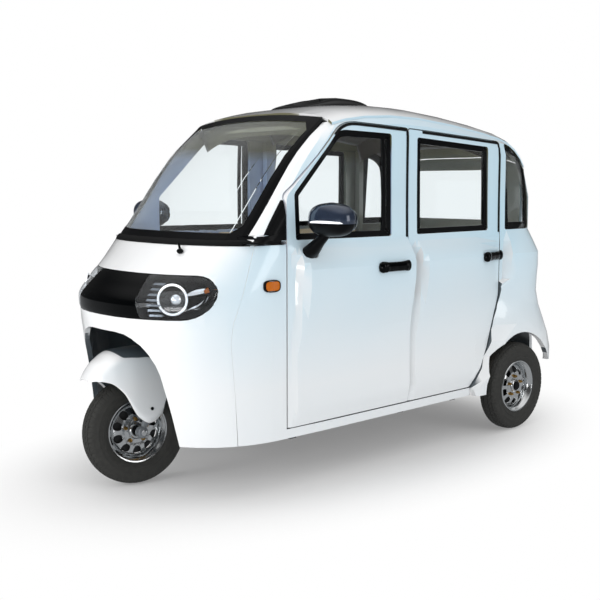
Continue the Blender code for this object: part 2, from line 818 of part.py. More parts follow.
def make_windscreen():
    def sheet(front, back):
        return block(
            [[Vector((x, screen_y(x, z, front), z)) for x in SCREEN_XS] for z in SCREEN_ZS],
            [[Vector((x, screen_y(x, z, back), z)) for x in SCREEN_XS] for z in SCREEN_ZS],
        )

    side = SCREEN_EDGE_X - 0.003
    crown = [(x, screen_top(x)) for x in spread(side - 0.02, -side + 0.02, 10)]
    outline = [(-side, 1.084), (-side + 0.01, 1.074), (side - 0.01, 1.074), (side, 1.084)]
    outline += [(side, screen_top(side) - 0.015)] + crown + [(-side, screen_top(side) - 0.015)]

    def opening(gap):
        """The clear part of the screen, inside the black band."""
        half = side - 0.030 + gap
        arch = [(x, screen_top(x) - 0.026 + gap) for x in spread(half - 0.035, -half + 0.035, 10)]
        low = [(-half, 1.140), (-half + 0.03, 1.112 - gap), (half - 0.03, 1.112 - gap), (half, 1.140)]
        return low + [(half, screen_top(half) - 0.060)] + arch + [(-half, screen_top(half) - 0.060)]

    frame = cut(
        keep(sheet(0.0, SURROUND_THICK), prism("y", outline, -1.2, 0.0)),
        prism("y", opening(TOUCH), -1.2, 0.0),
    )
    node("windscreen_surround", frame, "black gloss", ROOT)
    glass = keep(sheet(0.003, 0.009), prism("y", opening(0.0), -1.2, 0.0))
    node("windscreen", glass, "glass", ROOT)


BAND_LOW = 0.765
BAND_HIGH = 0.945
BAND_HALF = 0.475
BAND_ROUND = 0.085
LAMP_X = 0.378
LAMP_Z = 0.860
LAMP_HALF = (0.070, 0.068)
ARCH_OUTLINE = rounded(
    ((-0.365, 0.100, 0.0), (0.365, 0.100, 0.0), (0.270, 0.700, 0.20), (-0.270, 0.700, 0.20)), 6
)
NOSE_SEAM = ((-0.867, 0.200), (-0.879, 0.436), (-0.899, 0.667), (-0.889, 0.750), (-0.835, 0.900), (-0.779, 1.061), (-0.770, 1.10))
NOSE_ZS = (SKIRT_Z, 0.36, 0.5, 0.62, 0.72, 0.79, 0.835, 0.87, 0.905, 0.95, 1.0, 1.04, 1.068)


NOSE_WALL = 0.022


def nose_turns(reach=72, steps=16):
    return spread(math.radians(-reach), math.radians(reach), steps)


def nose_block(zs, low_inset, high_inset, reach=72, steps=16):
    turns = nose_turns(reach, steps)
    return block(
        [[nose_point(t, z, low_inset) for t in turns] for z in zs],
        [[nose_point(t, z, high_inset) for t in turns] for z in zs],
    )


def band_outline(gap):
    return rounded(
        (
            (-BAND_HALF - gap, BAND_LOW - gap, BAND_ROUND),
            (BAND_HALF + gap, BAND_LOW - gap, BAND_ROUND),
            (BAND_HALF + gap, BAND_HIGH + gap, BAND_ROUND),
            (-BAND_HALF - gap, BAND_HIGH + gap, BAND_ROUND),
        ),
        6,
    )


def lamp_outline(side, gap):
    return [
        (side * LAMP_X + (LAMP_HALF[0] + gap) * math.cos(a), LAMP_Z + (LAMP_HALF[1] + gap) * math.sin(a))
        for a in spread(0, 2 * math.pi * 23 / 24, 23)
    ]


def make_nose():
    shell = nose_block(NOSE_ZS, 0.0, NOSE_WALL)
    ahead = [(-1.5, 0.2)] + [(y - TOUCH, z) for y, z in NOSE_SEAM] + [(-1.5, 1.1)]
    shell = keep(shell, prism("x", ahead, -0.8, 0.8))
    shell = cut(
        shell,
        prism("y", ARCH_OUTLINE, -1.5, -0.5),
        prism("y", band_outline(0.0), -1.5, -0.5),
    )
    node("nose_panel", shell, "white paint", ROOT)
    band = nose_block((0.75, 0.79, 0.83, 0.86, 0.9, 0.93, 0.96), -0.002, 0.018, 66, 16)
    band = keep(band, prism("y", band_outline(-TOUCH), -1.5, -0.5))
    band = cut(
        band,
        prism("y", lamp_outline(1, TOUCH), -1.5, -0.5),
        prism("y", lamp_outline(-1, TOUCH), -1.5, -0.5),
    )
    node("lamp_band", band, "black gloss", ROOT)
    lamp = nose_block((0.77, 0.8, 0.83, 0.86, 0.89, 0.92, 0.95), -0.004, 0.045, 60, 20)
    lamp = keep(lamp, prism("y", lamp_outline(1, 0.0), -1.5, -0.5))
    both_sides("headlamp", lamp, "lamp", ROOT)


def make_skirts():
    """Each side panel ahead of the doors, in one piece with the sill below them."""
    ys = spread(-0.92, FRONT_SEAM_Y, 7) + spread(FRONT_SEAM_Y, 0.66, 6)[1:]
    zs = (SKIRT_Z, 0.25, 0.27, 0.36, 0.5, 0.65, 0.78, 0.86, 0.92, 0.97, 1.02, 1.068)
    skin = side_block(ys, zs, skirt_x, lambda y, z: min(skirt_x(y, z) - 0.022, 0.526))
    outline = [(y + TOUCH, z) for y, z in NOSE_SEAM[:-1]]
    outline = [(-0.866, SKIRT_Z)] + outline[1:]
    outline += [(FRONT_SEAM_Y - SEAM, 1.066), (FRONT_SEAM_Y - SEAM, DOOR_Z - SEAM)]
    outline += [(0.618, DOOR_Z - SEAM), (0.630, SKIRT_Z)]
    panel = keep(skin, prism("x", outline, 0.3, 0.8))
    centre = (-0.715, 0.894)
    ends = ((-0.034, -0.019), (0.034, -0.019), (0.034, 0.019), (-0.034, 0.019))
    socket = [(centre[0] + u, centre[1] + v, 0.013) for u, v in ends]
    panel = cut(panel, prism("x", grown(socket, TOUCH, 3), 0.3, 0.8))
    both_sides("front_side_panel", panel, "white paint", ROOT)
    lamp = side_block(
        spread(centre[0] - 0.04, centre[0] + 0.04, 2), spread(centre[1] - 0.03, centre[1] + 0.03, 2),
        lambda y, z: skirt_x(y, z) + 0.010, lambda y, z: skirt_x(y, z) - 0.020,
    )
    both_sides("marker_lamp", keep(lamp, prism("x", rounded(socket, 3), 0.3, 0.8)), "amber lamp", ROOT)


def make_quarters():
    zs = (SKIRT_Z, 0.28, 0.34, 0.42, 0.5, 0.58, 0.66, 0.74, 0.82, 0.88, 0.955, 1.02, 1.075, 1.25, 1.4, 1.47, 1.53, 1.58)
    rows = []
    inner = []
    for z in zs:
        end = REAR_Y(z) - 0.012
        first = 0.60 if z < 0.75 else REAR_SEAM_Y - 0.001
        ys = [first + (end - first) * s for s in (0, 0.08, 0.18, 0.32, 0.5, 0.65, 0.78, 0.88, 0.95, 1.0)]
        rows.append([Vector((quarter_x(y, z), y, z)) for y in ys])
        inner.append([Vector((max(quarter_x(y, z) - 0.030, 0.3), y, z)) for y in ys])
    skin = block(rows, inner)
    front = [p for p in grown(REAR_DOOR, SEAM)[1:25] if p[1] > DOOR_Z - SEAM + 0.001]
    outline = [(0.6315, 0.10), (0.6315, SKIRT_Z), (0.6195, DOOR_Z - SEAM)] + front
    outline += [(REAR_SEAM_Y, 1.7), (1.40, 1.7), (1.40, 0.305), (1.262, 0.352)]
    outline += ring_points(ARCH_Y, ARCH_Z, ARCH_RADIUS, 31, 180, 22)
    outline += [(ARCH_Y - ARCH_RADIUS, 0.10)]
    skin = keep(skin, prism("x", outline, 0.3, 0.8))
    skin = cut(skin, prism("x", rounded(QUARTER_WINDOW), 0.3, 0.8))
    skin = cut(skin, box((0.2, 0.5, 0.2), (REAR_PANEL_HALF + TOUCH, 1.4, 1.7)), roof_space(ROOF_THICK + TOUCH))
    both_sides("rear_quarter", skin, "white paint", ROOT)
    glass = pane(QUARTER_WINDOW, quarter_x, 0.008, 0.006, 0.3, 0.8)
    both_sides("quarter_window", glass, "glass", ROOT)


REAR_SCREEN = ((-0.350, 1.115, 0.05), (0.350, 1.115, 0.05), (0.330, 1.400, 0.05), (-0.330, 1.400, 0.05))


def make_rear():
    xs = spread(-REAR_PANEL_HALF, REAR_PANEL_HALF, 8)
    zs = (0.300, 0.34, 0.379, 0.45, 0.55, 0.65, 0.74, 0.9, 1.08, 1.25, 1.34, 1.42, 1.50)

    def sheet(front, back):
        return block(
            [[Vector((x, rear_y(x, z, front), z)) for x in xs] for z in zs],
            [[Vector((x, rear_y(x, z, back), z)) for x in xs] for z in zs],
        )

    top = [(x, roof_z(x, 1.13) - ROOF_THICK - 0.004) for x in spread(REAR_PANEL_HALF, -REAR_PANEL_HALF, 10)]
    outline = [(-REAR_PANEL_HALF, 0.31), (REAR_PANEL_HALF, 0.31)] + top
    panel = keep(sheet(0.0, 0.025), prism("y", outline, 0.8, 1.6))
    panel = cut(panel, prism("y", rounded(REAR_SCREEN, 4), 0.8, 1.6))
    for side in (-1, 1):
        panel = cut(panel, prism("y", tail_outline(side, TOUCH), 0.8, 1.6))
    node("rear_panel", panel, "white paint", ROOT)
    glass = keep(sheet(0.006, 0.012), prism("y", grown(REAR_SCREEN, -TOUCH, 4), 0.8, 1.6))
    node("rear_window", glass, "glass", ROOT)
    lamp = keep(sheet(-0.006, 0.022), prism("y", tail_outline(1, 0.0), 0.8, 1.6))
    both_sides("tail_lamp", lamp, "red lamp", ROOT)


def tail_outline(side, gap):
    corners = ((0.335, 0.66), (0.425, 0.66), (0.425, 0.95), (0.335, 0.95))
    return grown([(side * x, z, 0.025) for x, z in corners], gap, 4)


def make_floor():
    deck = box((-0.452, -0.740, FLOOR_Z), (0.452, 0.585, FLOOR_Z + FLOOR_THICK))
    bulkhead = box((-0.452, -0.740, FLOOR_Z), (0.452, -0.715, 0.780))
    riser = box((-0.452, 0.560, FLOOR_Z), (0.452, 0.585, REAR_DECK_Z + 0.030))
    rear = box((-0.452, 0.560, REAR_DECK_Z), (0.452, 1.150, REAR_DECK_Z + 0.030))
    node("floor_pan", join(deck, bulkhead, riser, rear), "grey plastic", ROOT)


def steering_point(along):
    """A point of the steering axis this far above the front axle."""
    return Vector((0.0, FRONT_AXLE_Y + along * math.sin(RAKE), AXLE_Z + along * math.cos(RAKE)))


def steering_matrix():
    turn = Matrix.Rotation(-RAKE, 4, "X") @ Matrix.Rotation(REST_STEER, 4, "Z")
    return Matrix.Translation(steering_point(0.0)) @ turn


RAIL_X = 0.280
REAR_DECK_Z = 0.500
HEAD_LOW = 0.435
HEAD_HIGH = 0.600
STEM_RADIUS = 0.017


def make_chassis():
    """Two long rails that step up over the rear axle, cross-members and the raked head tube."""
    low, high = 0.190, FLOOR_Z - TOUCH
    step = (
        (-0.730, low), (0.630, low), (0.730, 0.372), (1.170, 0.372),
        (1.170, 0.425), (0.700, 0.425), (0.590, high), (-0.730, high),
    )
    frame = prism("x", step, RAIL_X - 0.020, RAIL_X + 0.020)
    frame = join(frame, prism("x", step, -RAIL_X - 0.020, -RAIL_X + 0.020))
    for y, z0, z1 in ((-0.710, low, high), (-0.150, low, high), (0.500, low, high), (1.150, 0.372, 0.423)):
        frame = join(frame, box((-RAIL_X, y - 0.018, z0 + 0.002), (RAIL_X, y + 0.018, z1 - 0.002)))
    for side in (-1, 1):
        frame = join(
            frame,
            tube(
                ((side * RAIL_X, -0.762, 0.195), (side * RAIL_X, -0.762, 0.52), steering_point(0.5) + Vector((0, 0.01, 0))),
                0.017, 10,
            ),
            box((side * RAIL_X - 0.019, -0.775, 0.196), (side * RAIL_X + 0.019, -0.725, 0.244)),
        )
        for y in (-0.580, 0.120, 0.520):
            reach = sorted((side * (RAIL_X - 0.010), side * (0.526 - TOUCH)))
            frame = join(frame, box((reach[0], y - 0.020, 0.215), (reach[1], y + 0.020, FLOOR_Z - TOUCH)))
    head = tube((steering_point(HEAD_LOW), steering_point(HEAD_HIGH)), 0.031, 20)
    bore = tube((steering_point(HEAD_LOW - 0.05), steering_point(HEAD_HIGH + 0.05)), STEM_RADIUS + 0.0004, 20)
    frame = cut(join(frame, head), bore)
    node("chassis_frame", frame, "steel", ROOT)


def make_rear_axle():
    axle = tube(((-0.505, REAR_AXLE_Y, AXLE_Z), (0.505, REAR_AXLE_Y, AXLE_Z)), 0.026, 12)
    motor = moved(
        lathe(((0.0, -0.10), (0.085, -0.10), (0.105, -0.07), (0.105, 0.13), (0.075, 0.15), (0.0, 0.15)), 20, False),
        Matrix.Translation((0, REAR_AXLE_Y, AXLE_Z)),
    )
    axle = join(axle, motor)
    for side in (-1, 1):
        leaf = [
            (0.745, 0.3597), (0.850, 0.312), (REAR_AXLE_Y, 0.290), (1.090, 0.312), (1.165, 0.3597),
        ]
        curve = smooth_line(tuple(leaf))
        ys = spread(0.745, 1.165, 6)
        strip = [(y, curve(y) - 0.014) for y in ys] + [(y, curve(y) + 0.012) for y in reversed(ys)]
        axle = join(
            axle,
            prism("x", strip, side * RAIL_X - 0.022, side * RAIL_X + 0.022),
            box((side * RAIL_X - 0.028, REAR_AXLE_Y - 0.04, AXLE_Z - 0.03), (side * RAIL_X + 0.028, REAR_AXLE_Y + 0.04, 0.306)),
        )
        drum = lathe(((0.0, 0.0), (0.078, 0.0), (0.085, 0.012), (0.085, 0.030), (0.0, 0.030)), 18, False)
        drum = moved(drum, Matrix.Translation((side * 0.500 if side > 0 else -0.530, REAR_AXLE_Y, AXLE_Z)))
        stub = tube(((side * 0.50, REAR_AXLE_Y, AXLE_Z), (side * 0.600, REAR_AXLE_Y, AXLE_Z)), 0.0115, 10)
        axle = join(axle, drum, stub)
    node("rear_axle", axle, "steel", ROOT)


def make_seats():
    node(
        "battery_box",
        box((-0.235, -0.230, FLOOR_Z + FLOOR_THICK + TOUCH), (0.235, 0.180, 0.470)),
        "grey plastic",
        ROOT,
    )
    side = rounded(
        (
            (-0.250, 0.4703, 0.02), (0.240, 0.4703, 0.02), (0.320, 1.030, 0.03),
            (0.240, 1.030, 0.03), (0.155, 0.590, 0.06), (-0.250, 0.575, 0.03),
        ),
        4,
    )
    node("driver_seat", prism("x", side, -0.240, 0.240), "beige cover", ROOT)
    bench_z = REAR_DECK_Z + 0.030 + TOUCH
    bench = rounded(
        (
            (0.600, bench_z, 0.02), (1.125, bench_z, 0.02), (1.150, 1.060, 0.03),
            (1.075, 1.060, 0.03), (1.010, 0.680, 0.06), (0.600, 0.665, 0.03),
        ),
        4,
    )
    node("rear_bench", prism("x", bench, -0.440, 0.440), "beige cover", ROOT)
    dash = prism(
        "x",
        ((-0.940, 1.020), (-0.905, 1.050), (-0.800, 1.045), (-0.765, 1.020), (-0.755, 0.960), (-0.765, 0.850), (-0.800, 0.800), (-0.860, 0.900)),
        -0.440, 0.440,
    )
    dash = keep(dash, dash_limit())
    dash = cut(dash, tube((steering_point(0.4), steering_point(1.1)), 0.034, 20))
    node("dashboard", dash, "black trim", ROOT)


def dash_limit():
    """What fits inside the nose panel and between the pillars' feet."""
    turns = nose_turns()
    rings = []
    for z in [z for z in NOSE_ZS if z > 0.75]:
        ring = [nose_point(t, z, NOSE_WALL + TOUCH) for t in turns]
        ring = [Vector((max(-0.44, min(0.44, p.x)), p.y, p.z)) for p in ring]
        ring += [Vector((0.44, -0.5, z)), Vector((-0.44, -0.5, z))]
        rings.append(ring)
    bm = bmesh.new()
    loops = [[bm.verts.new(p) for p in ring] for ring in rings]
    for a, b in zip(loops, loops[1:]):
        for k in range(len(a)):
            j = (k + 1) % len(a)
            bm.faces.new((a[k], a[j], b[j], b[k]))
    bm.faces.new(loops[0])
    bm.faces.new(loops[-1])
    bmesh.ops.recalc_face_normals(bm, faces=bm.faces)
    return bm


# Wheels and steering

def tyre():
    outer = [
        (BEAD_RADIUS + 0.001, -0.0305), (0.1368, -0.0377), (0.155, -0.045), (0.185, -0.050), (0.214, -0.045),
        (0.230, -0.027), (TYRE_RADIUS, 0.0),
    ]
    profile = outer + [(r, -x) for r, x in reversed(outer[:-1])]
    profile += [(0.155, 0.033), (0.215, 0.030), (0.215, -0.030), (0.155, -0.033)]
    return lathe(profile, WHEEL_SIDES)


def rim(bore):
    """Rim with a dished disc of ten holes; the outer face is at +X."""
    edge = 0.0356
    profile = (
        (bore, -0.030), (0.036, -0.030), (0.036, 0.006), (0.075, 0.012), (0.110, -0.008), (0.120, -edge),
        (FLANGE_RADIUS, -edge - 0.006), (FLANGE_RADIUS, -edge - 0.0025), (0.122, -0.026),
        (0.122, 0.026), (FLANGE_RADIUS, edge + 0.0025), (FLANGE_RADIUS, edge + 0.006),
        (0.112, 0.006), (0.075, 0.024), (0.036, 0.020), (0.036, 0.040), (bore, 0.040),
    )
    bm = lathe(profile, WHEEL_SIDES)
    for k in range(10):
        angle = 2 * math.pi * (k + 0.5) / 10
        centre = Vector((0.0, 0.088 * math.cos(angle), 0.088 * math.sin(angle)))
        bm = cut(bm, tube((centre - Vector((0.06, 0, 0)), centre + Vector((0.06, 0, 0))), 0.0135, 8))
    return bm


def make_wheel(name, carrier, location, turn, bore):
    hub = empty(f"{name}_axis", location, carrier)
    hub["own_frame"] = 1
    node(f"{name}_rim", moved(rim(bore), turn), "alloy", hub)
    node(f"{name}_tyre", moved(tyre(), turn), "rubber", hub)


def make_steering():
    """All that turns with the handlebar, built straight ahead on its own upright axis."""
    head = empty("steering_axis", (0, 0, 0), ROOT)
    head.matrix_basis = steering_matrix()
    head["own_frame"] = 1
    stem = tube(((0, 0, 0.400), (0, 0, 0.830)), STEM_RADIUS, 20)
    crown = box((-0.098, -0.026, 0.385), (0.098, 0.026, 0.412))
    fork = join(stem, crown)
    for side in (-1, 1):
        leg = tube(((side * 0.079, 0, 0.030), (side * 0.079, 0, 0.400)), 0.0155, 14)
        eye = tube(((side * 0.068, 0, 0), (side * 0.090, 0, 0)), 0.026, 16)
        fork = join(fork, leg, tube(((side * 0.079, 0, 0.0), (side * 0.079, 0, 0.05)), 0.012, 12), eye)
    fork = join(fork, tube(((-0.097, 0, 0), (0.097, 0, 0)), 0.0095, 14))
    node("front_fork", fork, "steel", head)

    bar = tube(
        ((-0.330, 0.115, 0.905), (-0.200, 0.090, 0.905), (-0.090, 0.0, 0.870), (0, 0, 0.8525), (0.090, 0.0, 0.870), (0.200, 0.090, 0.905), (0.330, 0.115, 0.905)),
        0.013, 12,
    )
    clamp = box((-0.035, -0.024, 0.8303), (0.035, 0.024, 0.872))
    node("handlebar", join(bar, clamp), "black trim", head)

    upright = Matrix.Rotation(RAKE, 4, "X")
    top = (
        (-0.275, 0.245, 0.020), (-0.245, 0.272, 0.050), (-0.187, 0.315, 0.082), (-0.110, 0.352, 0.100),
        (-0.030, 0.366, 0.106), (0.050, 0.345, 0.106), (0.110, 0.290, 0.106), (0.152, 0.230, 0.104),
    )
    across = (-1.0, -0.97, -0.85, -0.5, 0.0, 0.5, 0.85, 0.97, 1.0)
    drop = (0.040, 0.014, 0.004, 0.0, 0.0, 0.0, 0.004, 0.014, 0.040)
    outer = []
    inner = []
    for y, z, half in top:
        away = Vector((0, y, z)).normalized()
        outer.append([Vector((half * s, y, z)) - away * d for s, d in zip(across, drop)])
        inner.append([Vector(((half - 0.005) * s, y, z)) - away * (d * 1.0 + 0.005 * (abs(s) < 0.96)) for s, d in zip(across, drop)])
    shell = block(outer, inner)
    plate = rounded(
        ((-0.150, 0.300, 0.02), (-0.060, 0.060, 0.03), (0.060, 0.045, 0.03), (0.120, 0.200, 0.03), (0.060, 0.320, 0.02)), 4
    )
    for side in (-1, 1):
        shell = join(shell, prism("x", plate, min(side * 0.1005, side * 0.1055), max(side * 0.1005, side * 0.1055)))
    shell = moved(shell, upright)
    for side in (-1, 1):
        shell = cut(shell, tube(((side * 0.079, 0, 0.03), (side * 0.079, 0, 0.45)), 0.0160, 14))
    shell = cut(shell, box((-0.2, -0.029, 0.378), (0.2, 0.029, 0.45)))
    node("front_fender", shell, "white paint", head)
    make_wheel("front_wheel", head, (0, 0, 0), upright, 0.0100)


clear_scene()
ROOT = empty("vehicle", (0, 0, 0))
make_cabin_frame()
make_roof()
make_windscreen()
make_nose()
make_skirts()
make_quarters()
make_rear()
make_floor()
make_chassis()
make_rear_axle()
make_seats()
make_doors()
make_steering()
make_wheel("rear_wheel_left", ROOT, (REAR_WHEEL_X, REAR_AXLE_Y, AXLE_Z), Matrix.Identity(4), 0.0120)
make_wheel("rear_wheel_right", ROOT, (-REAR_WHEEL_X, REAR_AXLE_Y, AXLE_Z), Matrix.Rotation(math.pi, 4, "Z"), 0.0120)
ROOT.location.y = CENTRE_SHIFT
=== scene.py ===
import math
from functools import partial

import bmesh
import bpy
import numpy as np
from mathutils import Matrix, Vector
from mathutils.bvhtree import BVHTree


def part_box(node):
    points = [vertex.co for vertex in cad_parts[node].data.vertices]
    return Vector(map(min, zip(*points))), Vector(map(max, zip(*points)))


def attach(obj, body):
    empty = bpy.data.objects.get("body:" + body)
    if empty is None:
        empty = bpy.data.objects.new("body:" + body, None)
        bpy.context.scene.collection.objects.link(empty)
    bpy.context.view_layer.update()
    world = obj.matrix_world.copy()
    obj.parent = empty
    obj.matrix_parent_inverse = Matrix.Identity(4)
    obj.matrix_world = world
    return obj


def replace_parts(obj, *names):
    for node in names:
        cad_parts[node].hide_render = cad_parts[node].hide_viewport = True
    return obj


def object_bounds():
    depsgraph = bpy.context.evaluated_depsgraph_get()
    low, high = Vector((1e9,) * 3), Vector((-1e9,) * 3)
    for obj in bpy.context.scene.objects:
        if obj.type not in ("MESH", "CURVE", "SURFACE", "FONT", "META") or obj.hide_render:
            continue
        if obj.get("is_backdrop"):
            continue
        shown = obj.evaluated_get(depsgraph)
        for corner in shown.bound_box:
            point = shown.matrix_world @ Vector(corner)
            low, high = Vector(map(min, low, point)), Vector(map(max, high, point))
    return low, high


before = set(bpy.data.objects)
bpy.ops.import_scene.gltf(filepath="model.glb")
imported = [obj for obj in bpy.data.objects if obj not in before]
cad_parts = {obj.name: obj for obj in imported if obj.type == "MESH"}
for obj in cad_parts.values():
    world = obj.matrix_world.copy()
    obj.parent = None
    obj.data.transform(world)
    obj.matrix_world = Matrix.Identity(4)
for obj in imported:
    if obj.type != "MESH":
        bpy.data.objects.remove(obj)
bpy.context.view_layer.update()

# The camera stands off the left front corner at eye height, where the picture was taken from, with a short
# telephoto lens.
CAMERA_PLACE = Vector((3.4887, -3.2378, 1.3064))
CAMERA_TURN = math.radians(47.912)
CAMERA_DIP = math.radians(6.947)
CAMERA_LENS_MM, CAMERA_SENSOR_MM = 55.9, 36.0
camera = bpy.data.objects.new("camera", bpy.data.cameras.new("camera"))
bpy.context.scene.collection.objects.link(camera)
camera.location = CAMERA_PLACE
back = Vector((math.sin(CAMERA_TURN) * math.cos(CAMERA_DIP),
               -math.cos(CAMERA_TURN) * math.cos(CAMERA_DIP), math.sin(CAMERA_DIP)))
camera.rotation_mode = "QUATERNION"
camera.rotation_quaternion = back.to_track_quat("Z", "Y")
camera.data.lens, camera.data.sensor_width = CAMERA_LENS_MM, CAMERA_SENSOR_MM
bpy.context.scene.camera = camera
bpy.context.scene.view_settings.view_transform = "Standard"

# The floor: a sheet of white studio paper. It shows the car's own shadow near it and runs out to plain
# white, so that no horizon shows, and gloss and metal see it as a mid grey.
FLOOR_HALF = 60.0
SHADOW_REACH = (0.95, 1.65)  # half the width and length of the shadowed patch
SHADOW_INNER, SHADOW_OUTER = 0.72, 1.25  # where it starts to fade and ends, as shares of that
SHADOW_SHARE = 0.9
PAPER_LIFT = 0.08


def linear(colour):
    """An sRGB hex colour as linear red, green, blue and alpha."""
    parts = [int(colour[i:i + 2], 16) / 255 for i in (1, 3, 5)]
    return [p / 12.92 if p <= 0.04045 else ((p + 0.055) / 1.055) ** 2.4 for p in parts] + [1.0]


def add_node(tree, kind, inputs=(), to=None, **settings):
    """A node with its settings. Inputs take values, sockets or nodes, and its result goes to a socket."""
    def result(made):
        return next(output for output in made.outputs if output.enabled)
    node = tree.nodes.new(kind)
    for name, value in settings.items():
        setattr(node, name, value)
    for name, value in dict(inputs).items():
        value = result(value) if isinstance(value, bpy.types.Node) else value
        if isinstance(value, bpy.types.NodeSocket):
            tree.links.new(value, node.inputs[name])
        else:
            node.inputs[name].default_value = value
    if to:
        tree.links.new(result(node), to)
    return node


def start_material(name, **inputs):
    """A new material, its node tree and its Principled shader with the constant values set on it."""
    material = bpy.data.materials.new(name)
    material.use_nodes = True
    shader = material.node_tree.nodes["Principled BSDF"]
    for key, value in inputs.items():
        shader.inputs[key.replace("_", " ").title().replace("Ior", "IOR")].default_value = value
    return material, material.node_tree, shader


def straight_look(tree):
    """The light path, and 1 where the camera looks straight at this or through glass."""
    rays = add_node(tree, "ShaderNodeLightPath")
    return rays, add_node(tree, "ShaderNodeMath", {
        0: rays.outputs["Is Camera Ray"], 1: rays.outputs["Is Transmission Ray"]}, operation="MAXIMUM")


# Matt paper: an even white that takes a soft shadow. Here and below, a pattern with no place given runs
# over each piece's own box.
paper, tree, shader = start_material("paper_sweep", base_color=linear("#e4e4e4"), roughness=0.9)
fibre = add_node(tree, "ShaderNodeTexNoise", {"Scale": 900.0, "Detail": 3.0})
add_node(tree, "ShaderNodeBump", {"Strength": 0.05, "Distance": 0.0005, "Height": fibre},
         to=shader.inputs["Normal"])
place = add_node(tree, "ShaderNodeNewGeometry").outputs["Position"]
squeezed = add_node(tree, "ShaderNodeVectorMath", {
    0: place, 1: (1 / SHADOW_REACH[0], 1 / SHADOW_REACH[1], 0.0)}, operation="MULTIPLY")
reach = add_node(tree, "ShaderNodeVectorMath", {0: squeezed}, operation="LENGTH")
near = add_node(tree, "ShaderNodeMapRange", {
    "Value": reach, "From Min": SHADOW_INNER, "From Max": SHADOW_OUTER, "To Min": SHADOW_SHARE,
    "To Max": 0.0}, interpolation_type="SMOOTHSTEP")
white = add_node(tree, "ShaderNodeEmission", {"Color": linear("#ffffff")})
lift = add_node(tree, "ShaderNodeEmission", {"Color": linear("#ffffff"), "Strength": PAPER_LIFT})
grey = add_node(tree, "ShaderNodeEmission", {"Color": linear("#9c9ea0")})
lit = add_node(tree, "ShaderNodeAddShader", {0: shader, 1: lift})
shown = add_node(tree, "ShaderNodeMixShader", {0: near, 1: white, 2: lit})
rays, straight = straight_look(tree)
mirrored = add_node(tree, "ShaderNodeMixShader", {0: rays.outputs["Is Glossy Ray"], 1: shader, 2: grey})
add_node(tree, "ShaderNodeMixShader", {0: straight, 1: mirrored, 2: shown},
         to=tree.nodes["Material Output"].inputs["Surface"])

floor_mesh = bpy.data.meshes.new("floor")
corners = [(-1, -1), (1, -1), (1, 1), (-1, 1)]
floor_mesh.from_pydata([(x * FLOOR_HALF, y * FLOOR_HALF, 0) for x, y in corners], [], [(0, 1, 2, 3)])
floor = bpy.data.objects.new("floor", floor_mesh)
bpy.context.scene.collection.objects.link(floor)
floor.data.materials.append(paper)
floor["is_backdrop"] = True

# The lamps and the room: a long softbox over the car, a tall one off its nose, one off its left side and a
# low one at the front wheel. The room is white to the camera and through glass. Gloss and metal see it dim
# below the ceiling, as a studio's walls are, and see none of the first two softboxes.
SOFTBOXES = (
    # place, aim, width, height, power in watts, whether gloss shows it
    ((0.0, -0.6, 4.4), (0.0, -0.2, 0.8), 3.0, 4.6, 20.0, False),
    ((-1.2, -5.6, 1.75), (0.0, -0.8, 0.6), 2.8, 3.0, 104.0, False),
    ((5.4, 1.2, 2.0), (0.4, 0.2, 0.8), 2.4, 2.4, 44.0, True),
    ((2.0, -4.2, 0.50), (0.0, -1.0, 0.45), 1.6, 0.7, 22.0, True),
)
ROOM_LIGHT = 0.78
WALL_TOP, CEILING = 0.45, 0.95  # heights of a direction of length 1
WALL_LIGHT, CEILING_LIGHT = 0.06, 0.85
for i, (place, aim, width, height, power, mirrored) in enumerate(SOFTBOXES):
    light = bpy.data.lights.new(f"softbox_{i}", "AREA")
    light.shape, light.size, light.size_y, light.energy = "RECTANGLE", width, height, power
    lamp = bpy.data.objects.new(f"softbox_{i}", light)
    bpy.context.scene.collection.objects.link(lamp)
    lamp.location = place
    lamp.visible_glossy = mirrored
    lamp.rotation_mode = "QUATERNION"
    lamp.rotation_quaternion = (Vector(place) - Vector(aim)).to_track_quat("Z", "Y")
world = bpy.data.worlds.new("white_room")
bpy.context.scene.world = world
world.use_nodes = True
tree = world.node_tree
rays, straight = straight_look(tree)
way = add_node(tree, "ShaderNodeTexCoord").outputs["Generated"]
height = add_node(tree, "ShaderNodeSeparateXYZ", {0: way}).outputs["Z"]
walls = add_node(tree, "ShaderNodeMapRange", {
    "Value": height, "From Min": WALL_TOP, "From Max": CEILING, "To Min": WALL_LIGHT,
    "To Max": CEILING_LIGHT}, interpolation_type="SMOOTHSTEP")
dim = add_node(tree, "ShaderNodeMix", {0: rays.outputs["Is Glossy Ray"], 2: ROOM_LIGHT, 3: walls})
tree.nodes["Background"].inputs["Color"].default_value = linear("#ffffff")
add_node(tree, "ShaderNodeMix", {0: straight, 2: dim, 3: 1.0}, to=tree.nodes["Background"].inputs["Strength"])

# The outer skin: pressed steel and moulded ABS panels in one pearl-white two-coat paint, hung on a welded
# cab frame. The faces that look into the cab are coloured plainly: a painted bluish shade in front, grey
# behind, olive under the roof, and a painted dark shade low down, below the belt.
FLAKE_MM = 0.6
PEEL_MM = 7.0
CLOUDS_PER_M = 1.4
# The sides' pale blue is a painted sky reflection, set between these heights.
SKY_REFLECTION_LOW, SKY_REFLECTION_HIGH = 0.45, 1.05  # heights between which the sides turn blue
CAB_MIDDLE = 0.9  # the height from which inside and outside are told apart
CAB_FRONT, CAB_REAR = -0.36, 0.85
SHARP_CREASE, SOFT_CREASE = 16.0, 24.0
HANDS = ((1, "left"), (-1, "right"))


def both(*names):
    """The left and the right node of each name."""
    return [f"{name}_{hand}" for name in names for side, hand in HANDS]


